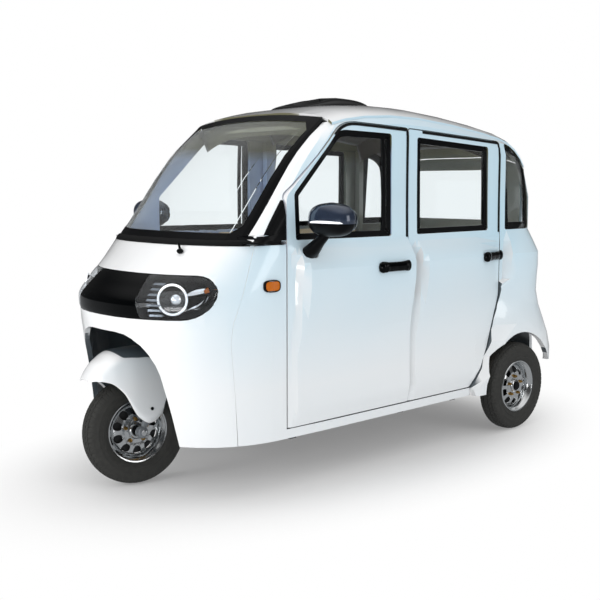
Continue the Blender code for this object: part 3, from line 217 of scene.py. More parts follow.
def finish_nodes(material, names, crease=9.0):
    """CAD nodes take a material and get smooth faces between creases."""
    for name in names:
        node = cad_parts[name]
        node.data.materials.clear()
        node.data.materials.append(material)
        if "custom_normal" in node.data.attributes:
            node.data.attributes.remove(node.data.attributes["custom_normal"])
        node.data.shade_smooth()
        node.modifiers.new("sewn", "WELD").merge_threshold = 1e-5
        split = node.modifiers.new("creases", "EDGE_SPLIT")
        split.split_angle = math.radians(crease)
        split.use_edge_sharp = False
        node.modifiers.new("even", "WEIGHTED_NORMAL")


# Pearl paint: the colour coat holds a fine mica flake, and the glossy clear coat over it has the slight
# orange peel of a sprayed finish. The pale blue on faces turned to the sides, growing higher up, is a painted
# reflection of a blue sky in the colour.
pearl_paint, tree, shader = start_material(
    "pearl_two_coat_paint", roughness=0.30, coat_weight=1.0, coat_roughness=0.03, coat_ior=1.5)
place = add_node(tree, "ShaderNodeTexCoord").outputs["Object"]
at = add_node(tree, "ShaderNodeSeparateXYZ", {0: place}).outputs
normal = add_node(tree, "ShaderNodeTexCoord").outputs["Normal"]
facing = add_node(tree, "ShaderNodeSeparateXYZ", {0: normal}).outputs
cloudy = add_node(tree, "ShaderNodeTexNoise", {"Vector": place, "Scale": CLOUDS_PER_M, "Detail": 2.0})
# Painted sky reflection: faces that turn to the sides take a pale blue, more of it higher up.
sideways = add_node(tree, "ShaderNodeMath", {0: facing["X"]}, operation="ABSOLUTE")
sides = add_node(tree, "ShaderNodeMapRange", {"Value": sideways, "From Min": 0.5, "From Max": 0.95})
rising = add_node(tree, "ShaderNodeMapRange", {
    "Value": at["Z"], "From Min": SKY_REFLECTION_LOW, "From Max": SKY_REFLECTION_HIGH, "To Min": 0.15, "To Max": 1.0})
uneven = add_node(tree, "ShaderNodeMapRange", {
    "Value": cloudy, "From Min": 0.3, "From Max": 0.7, "To Min": 0.75, "To Max": 1.0})
blue = add_node(tree, "ShaderNodeMath", {0: sides, 1: rising}, operation="MULTIPLY")
blue = add_node(tree, "ShaderNodeMath", {0: blue, 1: uneven}, operation="MULTIPLY")
outside = add_node(tree, "ShaderNodeMix", {0: blue, 6: linear("#f4f5f6"), 7: linear("#c8e6f5")},
                   data_type="RGBA")
along = add_node(tree, "ShaderNodeClamp", {"Value": at["Y"], "Min": CAB_FRONT, "Max": CAB_REAR})
past = add_node(tree, "ShaderNodeMath", {0: at["Y"], 1: along}, operation="SUBTRACT")
above = add_node(tree, "ShaderNodeMath", {0: at["Z"], 1: CAB_MIDDLE}, operation="SUBTRACT")
outward = add_node(tree, "ShaderNodeCombineXYZ", {"X": at["X"], "Y": past, "Z": above})
turned = add_node(tree, "ShaderNodeVectorMath", {0: outward, 1: normal}, operation="DOT_PRODUCT")
inside = add_node(tree, "ShaderNodeMapRange", {"Value": turned, "From Min": 0.04, "From Max": 0.02})
# Painted shade inside: bluish in front, dark grey below the belt; grey behind and olive on top are lining
# colours.
lining_with_painted_shade = linear("#a9bbdc")
for axis, start, end, colour in (("Y", 0.10, 0.42, "#83877f"), ("Z", 1.44, 1.50, "#77755c"),
                                 ("Z", 1.04, 1.00, "#4c555b")):
    there = add_node(tree, "ShaderNodeMapRange", {"Value": at[axis], "From Min": start, "From Max": end})
    lining_with_painted_shade = add_node(tree, "ShaderNodeMix", {0: there, 6: lining_with_painted_shade, 7: linear(colour)}, data_type="RGBA")
add_node(tree, "ShaderNodeMix", {0: inside, 6: outside, 7: lining_with_painted_shade}, to=shader.inputs["Base Color"],
         data_type="RGBA")
for mm, detail, strength, deep, socket in ((PEEL_MM, 0.0, 0.02, 0.0003, "Coat Normal"),
                                           (FLAKE_MM, 1.0, 0.03, 0.0001, "Normal")):
    bumps = add_node(tree, "ShaderNodeTexNoise", {"Vector": place, "Scale": 1000 / mm, "Detail": detail})
    add_node(tree, "ShaderNodeBump", {"Strength": strength, "Distance": deep, "Height": bumps},
             to=shader.inputs[socket])
finish_nodes(pearl_paint, both("front_door", "rear_door") + ["cabin_frame"], SHARP_CREASE)
finish_nodes(pearl_paint, ["nose_panel", *both("front_side_panel", "rear_quarter"),
                                         "rear_panel", "roof_panel"], SOFT_CREASE)

# The glazing: flat and gently bent safety glass, bonded or clipped into each opening. Light passes it into
# the cab, so its own shadow is left out.


def patchy(tree, socket, scale, detail, least, most):
    """Patches, as wear and dust leave them: a noise that moves one value of the shader between limits."""
    noise = add_node(tree, "ShaderNodeTexNoise", {"Scale": scale, "Detail": detail})
    add_node(tree, "ShaderNodeMapRange", {"Value": noise, "To Min": least, "To Max": most}, to=socket)
    return noise


# Clear glass: all but colourless, with a breath of haze and a weak mirror image.
window_glass, tree, shader = start_material(
    "clear_safety_glass", roughness=0.0, ior=1.30, transmission_weight=1.0, base_color=linear("#f7fbfc"))
patchy(tree, shader.inputs["Roughness"], 3.0, 3.0, 0.0, 0.015)
rays = add_node(tree, "ShaderNodeLightPath")
clear = add_node(tree, "ShaderNodeBsdfTransparent", {"Color": linear("#eef4f6")})
add_node(tree, "ShaderNodeMixShader", {0: rays.outputs["Is Shadow Ray"], 1: shader, 2: clear},
         to=tree.nodes["Material Output"].inputs["Surface"])
finish_nodes(window_glass, [
    "windscreen", *both("front_door_window", "rear_door_window", "quarter_window"), "rear_window"])

# The window frames: moulded sashes clipped into each door and rear quarter, with a glazing bar where the
# sliding half of the front window meets the fixed one.
SASH_WIDTH, QUARTER_SASH = 0.027, 0.036
SASH_PROUD, SASH_DEEP = 0.0025, 0.016
SASH_GAP = 0.0005
BAR_HALF, BAR_PROUD, BAR_DEEP = 0.009, 0.001, 0.010
BAR_BEHIND, BAR_SHORT = 0.050, 0.010
WINDOW_BODIES = {"front_door_window": "front_door", "rear_door_window": "rear_door", "quarter_window": None}
GRAIN_MM = 0.9
# Moulded ABS: an even, deep black with a fine grain and a dull sheen, a little polished where it is touched.
black_abs, tree, shader = start_material(
    "black_moulded_abs", roughness=0.40, specular_ior_level=0.14, base_color=linear("#08090b"))
grain = add_node(tree, "ShaderNodeTexVoronoi", {"Scale": 1000 / GRAIN_MM})
patchy(tree, shader.inputs["Roughness"], 14.0, 4.0, 0.26, 0.44)
add_node(tree, "ShaderNodeBump", {"Strength": 0.12, "Distance": 0.0002, "Height": grain},
         to=shader.inputs["Normal"])


def swept(sections, ring=True, round_trip=False, bm=None):
    """A skin over a row of like sections. ring closes each section, round_trip joins last to first."""
    if bm is None:
        bm = bmesh.new()
    rows = [[bm.verts.new(p) for p in section] for section in sections]
    count = len(rows[0])
    for a, b in zip(rows, rows[1:] + rows[:1] if round_trip else rows[1:]):
        for i in range(count if ring else count - 1):
            j = (i + 1) % count
            bm.faces.new((a[i], a[j], b[j], b[i]))
    if ring and not round_trip:
        bm.faces.new(rows[0])
        bm.faces.new(rows[-1])
    return bm


def piece_from(name, bm, material, body, crease=30.0, matrix=None):
    """A finished mesh as a named piece that rides on a body."""
    mesh = bpy.data.meshes.new(name)
    if matrix is not None:
        bmesh.ops.transform(bm, matrix=matrix, verts=bm.verts)
    bmesh.ops.recalc_face_normals(bm, faces=bm.faces)
    bm.to_mesh(mesh)
    bm.free()
    piece = bpy.data.objects.new(name, mesh)
    bpy.context.scene.collection.objects.link(piece)
    mesh.materials.append(material)
    mesh.shade_smooth()
    mesh.set_sharp_from_angle(angle=math.radians(crease))
    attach(piece, body)
    return piece


def side_outline(node):
    """The convex outline of a window or a door seen from the side, as y and z points in turn."""
    points = sorted({(round(v.co.y, 5), round(v.co.z, 5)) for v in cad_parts[node].data.vertices})

    def half(run):
        chain = []
        for p in run:
            while len(chain) > 1:
                (y0, z0), (y1, z1) = chain[-2:]
                if (y1 - y0) * (p[1] - z0) - (z1 - z0) * (p[0] - y0) > 1e-7:
                    break
                chain.pop()
            chain.append(p)
        return chain[:-1]
    return half(points) + half(points[::-1])


def inset(outline, distance):
    """A convex outline moved inwards by a distance, corner for corner."""
    made = []
    for i, p in enumerate(outline):
        before, after = Vector(outline[i - 1]), Vector(outline[(i + 1) % len(outline)])
        first, second = (Vector(p) - before).normalized(), (after - Vector(p)).normalized()
        first, second = (Vector((-way.y, way.x)) for way in (first, second))
        inward = (first + second).normalized()
        made.append(tuple(Vector(p) + inward * (distance / max(0.25, inward.dot(first)))))
    return made


def fitted(node, side):
    """x of a side panel's outer face as a smooth function of y and z, fitted through its points."""
    rows = [(v.co.y, v.co.z, v.co.x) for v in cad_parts[node].data.vertices if v.normal.x * side > 0.3]
    y, z, x = np.array(rows).T
    terms = np.stack([np.ones_like(y), y, z, z * z, y * z, y * y], 1)
    k = np.linalg.lstsq(terms, x, rcond=None)[0]
    return lambda y, z: float(k @ np.array([1.0, y, z, z * z, y * z, y * y]))


def skin_of(*names):
    """A search tree over CAD nodes, to lay thin pieces on them."""
    bm = bmesh.new()
    for name in names:
        bm.from_mesh(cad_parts[name].data)
    skin = BVHTree.FromBMesh(bm)
    bm.free()
    return skin


def cast_x(skin, side, y, z):
    """x where a ray from the side meets the skin, or x of the skin's nearest point where it meets none."""
    hit = skin.ray_cast(Vector((side, y, z)), Vector((-side, 0, 0)))[0]
    if hit is None or hit.x * side < 0.4:
        hit = skin.find_nearest(Vector((side * 0.54, y, z)))[0]
    return hit.x


def resampled(points, step):
    """Points along a polyline at even steps."""
    points = np.array(points)
    lengths = np.concatenate([[0], np.cumsum(np.linalg.norm(np.diff(points, axis=0), axis=1))])
    at = np.linspace(0, lengths[-1], max(2, int(lengths[-1] / step) + 1))
    return np.stack([np.interp(at, lengths, points[:, k]) for k in range(points.shape[1])], 1)


def laid_frame(outer, inner, x_at, side, proud, deep):
    """A flat frame between two outlines, laid on a side surface and sunk into it."""
    sections = []
    for (y0, z0), (y1, z1) in zip(outer, inner):
        x0, x1 = x_at(y0, z0), x_at(y1, z1)
        sections.append([(x0 - side * deep, y0, z0), (x0 + side * proud, y0, z0),
                         (x1 + side * proud, y1, z1), (x1 - side * deep, y1, z1)])
    return swept(sections, round_trip=True)


for side, hand in HANDS:
    for window, door in WINDOW_BODIES.items():
        rides_on = f"{door}_{hand}" if door else "body"
        outline = side_outline(f"{window}_{hand}")
        x_at, width = fitted(f"{window}_{hand}", side), SASH_WIDTH
        if window == "quarter_window":
            x_at, width = partial(cast_x, skin_of(f"{window}_{hand}"), side), QUARTER_SASH
        sash = laid_frame(inset(outline, SASH_GAP), inset(outline, width), x_at, side, SASH_PROUD, SASH_DEEP)
        piece_from(f"{window}_sash_{hand}", sash, black_abs, rides_on)
    low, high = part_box(f"front_door_window_{hand}")
    bar_y = high[1] - BAR_BEHIND
    x_at = fitted(f"front_door_window_{hand}", side)
    rows = []
    for z in np.linspace(low[2] + BAR_SHORT, high[2] - BAR_SHORT, 9):
        back, front = x_at(bar_y, z) - side * BAR_DEEP, x_at(bar_y, z) + side * BAR_PROUD
        rows.append([(back, bar_y - BAR_HALF, z), (front, bar_y - BAR_HALF, z),
                     (front, bar_y + BAR_HALF, z), (back, bar_y + BAR_HALF, z)])
    piece_from(f"front_slider_bar_{hand}", swept(rows), black_abs, f"front_door_{hand}")

# The weatherstrips: extruded EPDM rubber pressed onto the upper edge of each door frame, where it shows as
# a dark line along the pillar, the roof and the rear edge of the door.
STRIP_LOW = 1.070
STRIP_FRONT_GAP = 0.030
STRIP_STEP = 0.012
# Its section: how far in from the door's edge, and how high off the door.
STRIP_SECTION = ((0.0004, -0.002), (0.0004, 0.0030), (0.00625, 0.0042), (0.0125, 0.0018), (0.0125, -0.002))
SLOPE_FROM, SLOPE_RUN = 0.004, 0.010
# EPDM rubber: matt black, a little dusty.
epdm, tree, shader = start_material(
    "black_epdm_rubber", roughness=0.62, base_color=linear("#0c0d0e"), specular_ior_level=0.25)
patchy(tree, shader.inputs["Roughness"], 220.0, 4.0, 0.5, 0.75)
for side, hand in HANDS:
    for door in ("front_door", "rear_door"):
        skin = skin_of(f"{door}_{hand}")
        outline = side_outline(f"{door}_{hand}")
        front_y = min(p[0] for p in outline) + STRIP_FRONT_GAP
        path = [p for p in outline if p[1] > STRIP_LOW and p[0] > front_y]
        middle_y = (min(path)[0] + max(path)[0]) / 2
        path.sort(key=lambda p: -math.atan2(p[1] - STRIP_LOW, p[0] - middle_y))
        path.append((path[-1][0], STRIP_LOW))
        path = resampled(path, STRIP_STEP)
        rows = []
        for i, p in enumerate(path):
            run = path[min(i + 1, len(path) - 1)] - path[max(i - 1, 0)]
            inward = Vector((-run[1], run[0])).normalized()
            if inward.dot(Vector((middle_y - p[0], STRIP_LOW - p[1]))) < 0:
                inward = -inward
            near, far = (cast_x(skin, side, *(Vector(p) + inward * off))
                         for off in (SLOPE_FROM, SLOPE_FROM + SLOPE_RUN))
            slope = (far - near) / SLOPE_RUN
            rows.append([(near + slope * (off - SLOPE_FROM) + side * lift, *(Vector(p) + inward * off))
                         for off, lift in STRIP_SECTION])
        piece_from(f"{door}_weatherstrip_{hand}", swept(rows), epdm, f"{door}_{hand}")

# The windscreen: one bent sheet bonded into a black moulded surround, and behind each of its lower
# corners a black triangular cover, a thin moulding clipped over the pillar's foot.
finish_nodes(black_abs, ["windscreen_surround"])
BASE_STRIP_HALF = 0.500
COVER_REAR = -0.6605
COVER_PROUD, COVER_SUNK = 0.0055, 0.002
COVER_EDGE = ((1.064, -0.842), (1.100, -0.838), (1.106, -0.768), (1.250, -0.664))
for side, hand in HANDS:
    skin = skin_of("cabin_frame", "nose_panel", f"front_side_panel_{hand}", "windscreen_surround")
    rows = []
    for z in (1.064, 1.070, *np.linspace(1.076, 1.100, 5), *np.linspace(1.106, 1.250, 17)):
        front = float(np.interp(z, *zip(*COVER_EDGE)))
        line = [(cast_x(skin, side, y, z), y) for y in np.linspace(COVER_REAR, front, 15)]
        rows.append([(x + side * COVER_PROUD, y, z) for x, y in line]
                    + [(x - side * COVER_SUNK, y, z) for x, y in line[::-1]])
    piece_from(f"pillar_foot_cover_{hand}", swept(rows), black_abs, "body", crease=40)

# The wiper spindle and its washer jet, black moulded caps below the windscreen. The arm is off, as in the
# picture.
SPINDLE = Vector((0.262, -1.000, 1.038))
SPINDLE_RADIUS = 0.0155
JET_OFF = Vector((-0.016, 0.008, 0.018))
JET_LEAN = -25
jet_bm = bmesh.new()
bmesh.ops.create_uvsphere(jet_bm, u_segments=24, v_segments=14, radius=SPINDLE_RADIUS,
                          matrix=Matrix.Translation(SPINDLE) @ Matrix.Diagonal((1.0, 0.9, 0.75, 1)))
bmesh.ops.create_cone(
    jet_bm, segments=16, radius1=0.006, radius2=0.004, depth=0.030, cap_ends=True,
    matrix=Matrix.Translation(SPINDLE + JET_OFF) @ Matrix.Rotation(math.radians(JET_LEAN), 4, "Y"))
piece_from("wiper_spindle", jet_bm, black_abs, "body")

# The lamp band: a gloss-black acrylic cover laid over the nose, with a headlamp at each end. Each lamp is
# a clear lens over a deep black housing, a white ring of light guide, a projector ball, seven bright
# reflector bars, an amber wedge and a chrome leaf.
BAND_MIDDLE, BAND_TALL, BAND_LONG, BAND_ROUND = 0.855, 0.089, 0.474, 0.085
LENS_SPLIT = 0.246
SPLIT_LEAN = 0.30
BAND_LIFT = 0.004
HOUSING_DEEP = 0.050
NOSE_Y, NOSE_X, NOSE_POWER = -0.6525, 0.548, 2.3
NOSE_DEPTHS = ((0.600, 0.557), (0.700, 0.573), (0.820, 0.580), (0.900, 0.515), (0.960, 0.450), (1.020, 0.385),
               (1.075, 0.325), (1.100, 0.298))
# Acrylic: deep black under a hard, sharp gloss, a little dulled by wiping.
gloss_black, tree, shader = start_material(
    "gloss_black_acrylic", roughness=0.05, base_color=linear("#030405"), specular_ior_level=0.16)
patchy(tree, shader.inputs["Roughness"], 30.0, 5.0, 0.03, 0.10)
# Polycarbonate: clear, with a thin bright edge.
lamp_lens, tree, shader = start_material(
    "clear_polycarbonate_lens", roughness=0.0, ior=1.35, transmission_weight=1.0,
    base_color=linear("#f4f7fa"))
patchy(tree, shader.inputs["Roughness"], 60.0, 3.0, 0.0, 0.012)
# Plated chrome: a bright mirror with a faint mist.
chrome, tree, shader = start_material(
    "vacuum_plated_chrome", metallic=1.0, roughness=0.08, base_color=linear("#e6e9ec"))
patchy(tree, shader.inputs["Roughness"], 80.0, 3.0, 0.05, 0.16)
# Smoked plating: the same mirror, greyer and softer.
dim_chrome, tree, shader = start_material(
    "smoked_reflector_plating", metallic=1.0, roughness=0.25, base_color=linear("#8e949b"))
patchy(tree, shader.inputs["Roughness"], 120.0, 3.0, 0.18, 0.34)
# Light guide: milk white, with a painted glow: it glows a little, though the lamp is not lit.
guide_with_painted_glow, tree, shader = start_material(
    "milk_white_light_guide", roughness=0.25, base_color=linear("#f6f8fa"),
    emission_color=linear("#f2f6fa"), emission_strength=0.4)
patchy(tree, shader.inputs["Emission Strength"], 260.0, 2.0, 0.30, 0.50)
# Amber acrylic: deep orange, fluted, a little lit.
amber, tree, shader = start_material(
    "amber_acrylic_lens", roughness=0.12, ior=1.49, base_color=linear("#c0660c"),
    emission_color=linear("#a85006"), emission_strength=0.12)
flutes = add_node(tree, "ShaderNodeTexWave", {"Scale": 90.0}, bands_direction="Y")
add_node(tree, "ShaderNodeBump", {"Strength": 0.4, "Distance": 0.001, "Height": flutes.outputs["Fac"]},
         to=shader.inputs["Normal"])


def smooth_line(points):
    """A smooth curve through points of place and value that doesn't overshoot them."""
    places, values = np.array(points).T
    steps = np.diff(values) / np.diff(places)
    slopes = np.zeros(len(places))
    turning = steps[:-1] * steps[1:] > 0
    slopes[1:-1][turning] = (2 * steps[:-1] * steps[1:])[turning] / (steps[:-1] + steps[1:])[turning]
    slopes[0], slopes[-1] = steps[0], steps[-1]

    def value(t):
        t = min(max(t, places[0]), places[-1])
        i = min(int(np.searchsorted(places, t, side="right")) - 1, len(places) - 2)
        h = places[i + 1] - places[i]
        s = (t - places[i]) / h
        return float((1 + 2 * s) * (1 - s) ** 2 * values[i] + s * (1 - s) ** 2 * h * slopes[i]
                     + s * s * (3 - 2 * s) * values[i + 1] + s * s * (s - 1) * h * slopes[i + 1])
    return value


nose_depth = smooth_line(NOSE_DEPTHS)


def nose_at(x, z, lift):
    """A point at x and z on the nose's rounded front, lifted off it along y and x."""
    share = min(abs(x) / (NOSE_X + lift), 0.9999)
    return Vector((x, NOSE_Y - (nose_depth(z) + lift) * (1 - share ** NOSE_POWER) ** (1 / NOSE_POWER), z))


base_strip = swept([[nose_at(x, z, lift) for z, lift in
                     ((1.060, -0.008), (1.061, 0.0015), (1.070, 0.0035), (1.080, 0.002), (1.086, -0.008))]
                    for x in np.linspace(-BASE_STRIP_HALF, BASE_STRIP_HALF, 81)])
piece_from("screen_base_strip", base_strip, epdm, "body")


def band_half(x):
    """Half the band's height at this x: level, with a rounded end."""
    into = max(0.0, (abs(x) - (BAND_LONG - BAND_ROUND)) / BAND_ROUND)
    if not into:
        return BAND_TALL
    return (BAND_TALL - BAND_ROUND) * (into < 1) + BAND_ROUND * math.sqrt(max(0.0, 1 - into * into))


def split_x(z):
    """x of the leaning seam between the cover and the left lens."""
    return LENS_SPLIT - SPLIT_LEAN * (z - 0.755)


def band_grid(left_of, right_of, columns, rows, lift_at):
    """A grid on the band between two edges, each a function of z, lifted by a function of its place."""
    bm = bmesh.new()
    grid = []
    for i in range(columns + 1):
        s = 0.5 - 0.5 * math.cos(math.pi * i / columns)
        column = []
        for j in range(rows + 1):
            t = -math.cos(math.pi * j / rows)
            x = left_of(BAND_MIDDLE) + s * (right_of(BAND_MIDDLE) - left_of(BAND_MIDDLE))
            for _ in range(3):
                z = BAND_MIDDLE + t * band_half(x)
                x = left_of(z) + s * (right_of(z) - left_of(z))
            column.append(bm.verts.new(nose_at(x, z, lift_at(s, t))))
        grid.append(column)
    for a, b in zip(grid, grid[1:]):
        for j in range(rows):
            bm.faces.new((a[j], b[j], b[j + 1], a[j + 1]))
    bmesh.ops.remove_doubles(bm, verts=bm.verts, dist=1e-5)
    return bm


def thicken(piece, thickness):
    """A wall given to an open skin, inwards from it."""
    solid = piece.modifiers.new("wall", "SOLIDIFY")
    solid.thickness, solid.offset = thickness, -1.0
    return piece


def rounded_lift(s, t):
    """How far the cover stands off the nose: level, and rolled in at its upper and lower edge."""
    return BAND_LIFT - 0.006 * abs(t) ** 8


cover = band_grid(lambda z: -split_x(z), split_x, 72, 28, rounded_lift)
cover = thicken(piece_from("lamp_band_cover", cover, gloss_black, "body", crease=50), 0.004)
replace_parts(cover, "lamp_band")


def lamp_frame(side):
    """The lamp's own frame: its z axis looks out along the nose's normal at the ring."""
    out = Vector((side * 0.604, -0.797, 0.05)).normalized()
    across = Vector((0, 0, 1)).cross(out).normalized()
    place = Matrix.Translation((side * 0.344, -1.098, 0.848))
    return place @ Matrix((across, out.cross(across), out)).transposed().to_4x4()


RING_RADIUS, RING_THICK = 0.0610, 0.0050
BALL_RADIUS, BALL_PLACE = 0.027, (0.014, 0, -0.010)
BORDER_WIDE, BORDER_SIDE_GAP, BORDER_EDGE_GAP, BORDER_STEPS = 0.012, 0.006, 0.007, 48
BARS, BARS_FROM, BARS_PITCH = 7, 0.782, 0.0205
for side, hand in HANDS:
    edges = (split_x, lambda z: BAND_LONG) if side > 0 else (lambda z: -BAND_LONG, lambda z: -split_x(z))
    lens = band_grid(*edges, 40, 28, rounded_lift)
    lens = piece_from(f"headlamp_lens_{hand}", lens, lamp_lens, "body", crease=50)
    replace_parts(thicken(lens, 0.003), f"headlamp_{hand}")

    def bowl(s, t):
        """How far the housing lies behind the nose: shallow at its rim and deep within it."""
        rim = max(abs(2 * s - 1), abs(t))
        return -0.002 if rim > 0.975 else -0.002 - HOUSING_DEEP * min(1.0, (1 - rim) / 0.10) ** 0.5
    housing = band_grid(*edges, 48, 36, bowl)
    housing = piece_from(f"headlamp_housing_{hand}", housing, gloss_black, "body", crease=40)
    thicken(housing, 0.002)
    border = bmesh.new()
    turns = [-math.pi / 2 + math.pi * k / BORDER_STEPS for k in range(BORDER_STEPS + 1)]
    rail = [(BAND_LONG - BAND_ROUND + (BAND_ROUND - BORDER_SIDE_GAP) * math.cos(turn),
             BAND_MIDDLE + (BAND_TALL - BORDER_EDGE_GAP) * math.sin(turn)) for turn in turns]
    inner = [(x - BORDER_WIDE * math.cos(turn), z - BORDER_WIDE * math.sin(turn))
             for (x, z), turn in zip(rail, turns)]
    for lift in (-0.003, -0.010):
        swept([[nose_at(side * x, z, lift) for x, z in line] for line in (rail, inner)], ring=False,
              bm=border)
    piece_from(f"headlamp_border_{hand}", border, gloss_black, "body", crease=50)

    at = lamp_frame(side)
    ring = []
    for a in np.linspace(0, math.tau, 72, endpoint=False):
        turns = np.linspace(0, math.tau, 12, endpoint=False)
        radii = [RING_RADIUS + RING_THICK * math.cos(b) for b in turns]
        ring.append([(r * math.cos(a), r * math.sin(a), 0.004 * math.sin(b)) for r, b in zip(radii, turns)])
    ring = swept(ring, round_trip=True)
    piece_from(f"headlamp_ring_{hand}", ring, guide_with_painted_glow, "body", crease=60, matrix=at)
    cup = [[(r * math.cos(a), r * math.sin(a), d) for a in np.linspace(0, math.tau, 48, endpoint=False)]
           for r, d in ((0.0555, 0.001), (0.052, -0.012), (0.044, -0.026), (0.036, -0.030), (0.033, -0.018))]
    piece_from(f"headlamp_bowl_{hand}", swept(cup), gloss_black, "body", crease=20, matrix=at)
    ball = bmesh.new()
    bmesh.ops.create_icosphere(ball, subdivisions=3, radius=BALL_RADIUS, matrix=Matrix.Translation(
        (side * BALL_PLACE[0], BALL_PLACE[1], BALL_PLACE[2])))
    piece_from(f"headlamp_projector_{hand}", ball, chrome, "body", crease=14, matrix=at)

    bars = bmesh.new()
    for k in range(BARS):
        z = BARS_FROM + BARS_PITCH * k
        start = split_x(z) + 0.030
        swept([[nose_at(side * x, z + dz, lift) for dz, lift in
                ((-0.0040, -0.024), (-0.0040, -0.016), (0.0040, -0.019), (0.0040, -0.024))]
               for x in (start, start + 0.026, start + 0.050)], bm=bars)
    piece_from(f"headlamp_bars_{hand}", bars, dim_chrome, "body", crease=20)

    for name, material, slot, rail in (
            ("turn_wedge", amber, "amber_lens",
             ((0.432, 0.885, 0.012), (0.446, 0.888, 0.010), (0.460, 0.889, 0.002))),
            ("wedge_reflector", chrome, "lamp_glass",
             ((0.385, 0.868, 0.006), (0.405, 0.877, 0.011), (0.430, 0.885, 0.010))),
            ("chrome_leaf", chrome, "lamp_glass",
             ((0.395, 0.802, 0.002), (0.425, 0.818, 0.010), (0.440, 0.842, 0.012), (0.450, 0.866, 0.003)))):
        rail = resampled(rail, 0.004)
        rows = [[nose_at(side * x, z + dz, lift) for dz, lift in
                 ((-tall, -0.016), (0, -0.009), (tall, -0.014), (0, -0.020))] for x, z, tall in rail]
        piece_from(f"headlamp_{name}_{hand}", swept(rows), material, "body", crease=25)

# The marker lamps: a small amber lens on each front side panel, held by a rounded moulded bezel.
finish_nodes(amber, both("marker_lamp"))
MARKER_Y, MARKER_Z = -0.7375, 0.894
MARKER_HALF = (0.0415, 0.0262)
for side, hand in HANDS:
    skin = skin_of(f"front_side_panel_{hand}")
    rows = []
    for a in np.linspace(0, math.tau, 40, endpoint=False):
        cy, cz = math.cos(a), math.sin(a)
        shape = (abs(cy) ** 3 + abs(cz) ** 3) ** (-1 / 3)
        row = []
        for scale, lift in ((1.0, -0.001), (0.98, 0.009), (0.86, 0.011), (0.83, -0.001)):
            y = MARKER_Y + MARKER_HALF[0] * cy * shape * scale
            z = MARKER_Z + MARKER_HALF[1] * cz * shape * scale
            row.append((cast_x(skin, side, y, z) + side * lift, y, z))
        rows.append(row)
    piece_from(f"marker_bezel_{hand}", swept(rows, round_trip=True), black_abs, "body")

# The door mirrors: a blue-black painted cover over a black moulded tray, with a pale glowing strip along
# its lower edge, a painted highlight, a tapered black arm on the door and a silvered glass at the back.
MIRROR = Vector((0.683, -0.5255, 1.168))
MIRROR_HALF = (0.116, 0.067, 0.071)
MIRROR_FLAT = 0.050
MIRROR_POWER = 2.5
MIRROR_GLASS_HALF = (0.100, 0.054)
GLOW_STRIP_FROM, GLOW_STRIP_TO, GLOW_STRIP_LONG = -0.072, 0.104, 0.176
ARM = (  # x, y, z, half width and half thickness
    (0.550, -0.5400, 1.022, 0.045, 0.030), (0.566, -0.5410, 1.026, 0.044, 0.031),
    (0.590, -0.5410, 1.045, 0.037, 0.028), (0.622, -0.5390, 1.074, 0.028, 0.022),
    (0.650, -0.5350, 1.098, 0.022, 0.019), (0.668, -0.5320, 1.118, 0.020, 0.018))
TRAY_TOP = -0.017
GROOVE = 0.0022
# Cover paint: blue-black with a fine metal flake under a clear coat.
cover_paint, tree, shader = start_material(
    "blue_black_metallic_cover", metallic=0.35, roughness=0.22, coat_weight=1.0, coat_roughness=0.03,
    base_color=linear("#2b3647"))
flake = add_node(tree, "ShaderNodeTexNoise", {"Scale": 1500.0, "Detail": 1.0})
add_node(tree, "ShaderNodeMix", {0: flake, 6: linear("#252f3f"), 7: linear("#354259")},
         to=shader.inputs["Base Color"], data_type="RGBA")
# Silvered glass: an even, pale mirror.
mirror_glass, tree, shader = start_material(
    "silvered_mirror_glass", metallic=1.0, roughness=0.02, base_color=linear("#cfd6da"))
patchy(tree, shader.inputs["Roughness"], 25.0, 3.0, 0.0, 0.05)


def mirror_section(side, z, grow=0.0, count=64):
    """The mirror head's rounded outline at a height from its middle, grown by a distance."""
    a, b, c = (h + grow for h in MIRROR_HALF)
    scale = (1 - min(abs(z) / c, 0.999) ** MIRROR_POWER) ** (1 / MIRROR_POWER)
    section = []
    for angle in np.linspace(0, math.tau, count, endpoint=False):
        cx, cy = math.cos(angle), math.sin(angle)
        x = side * a * scale * math.copysign(abs(cx) ** 0.8, cx)
        y = b * scale * math.copysign(abs(cy) ** 0.8, cy)
        section.append((MIRROR.x * side + x, MIRROR.y + min(y, MIRROR_FLAT), MIRROR.z + z))
    return section


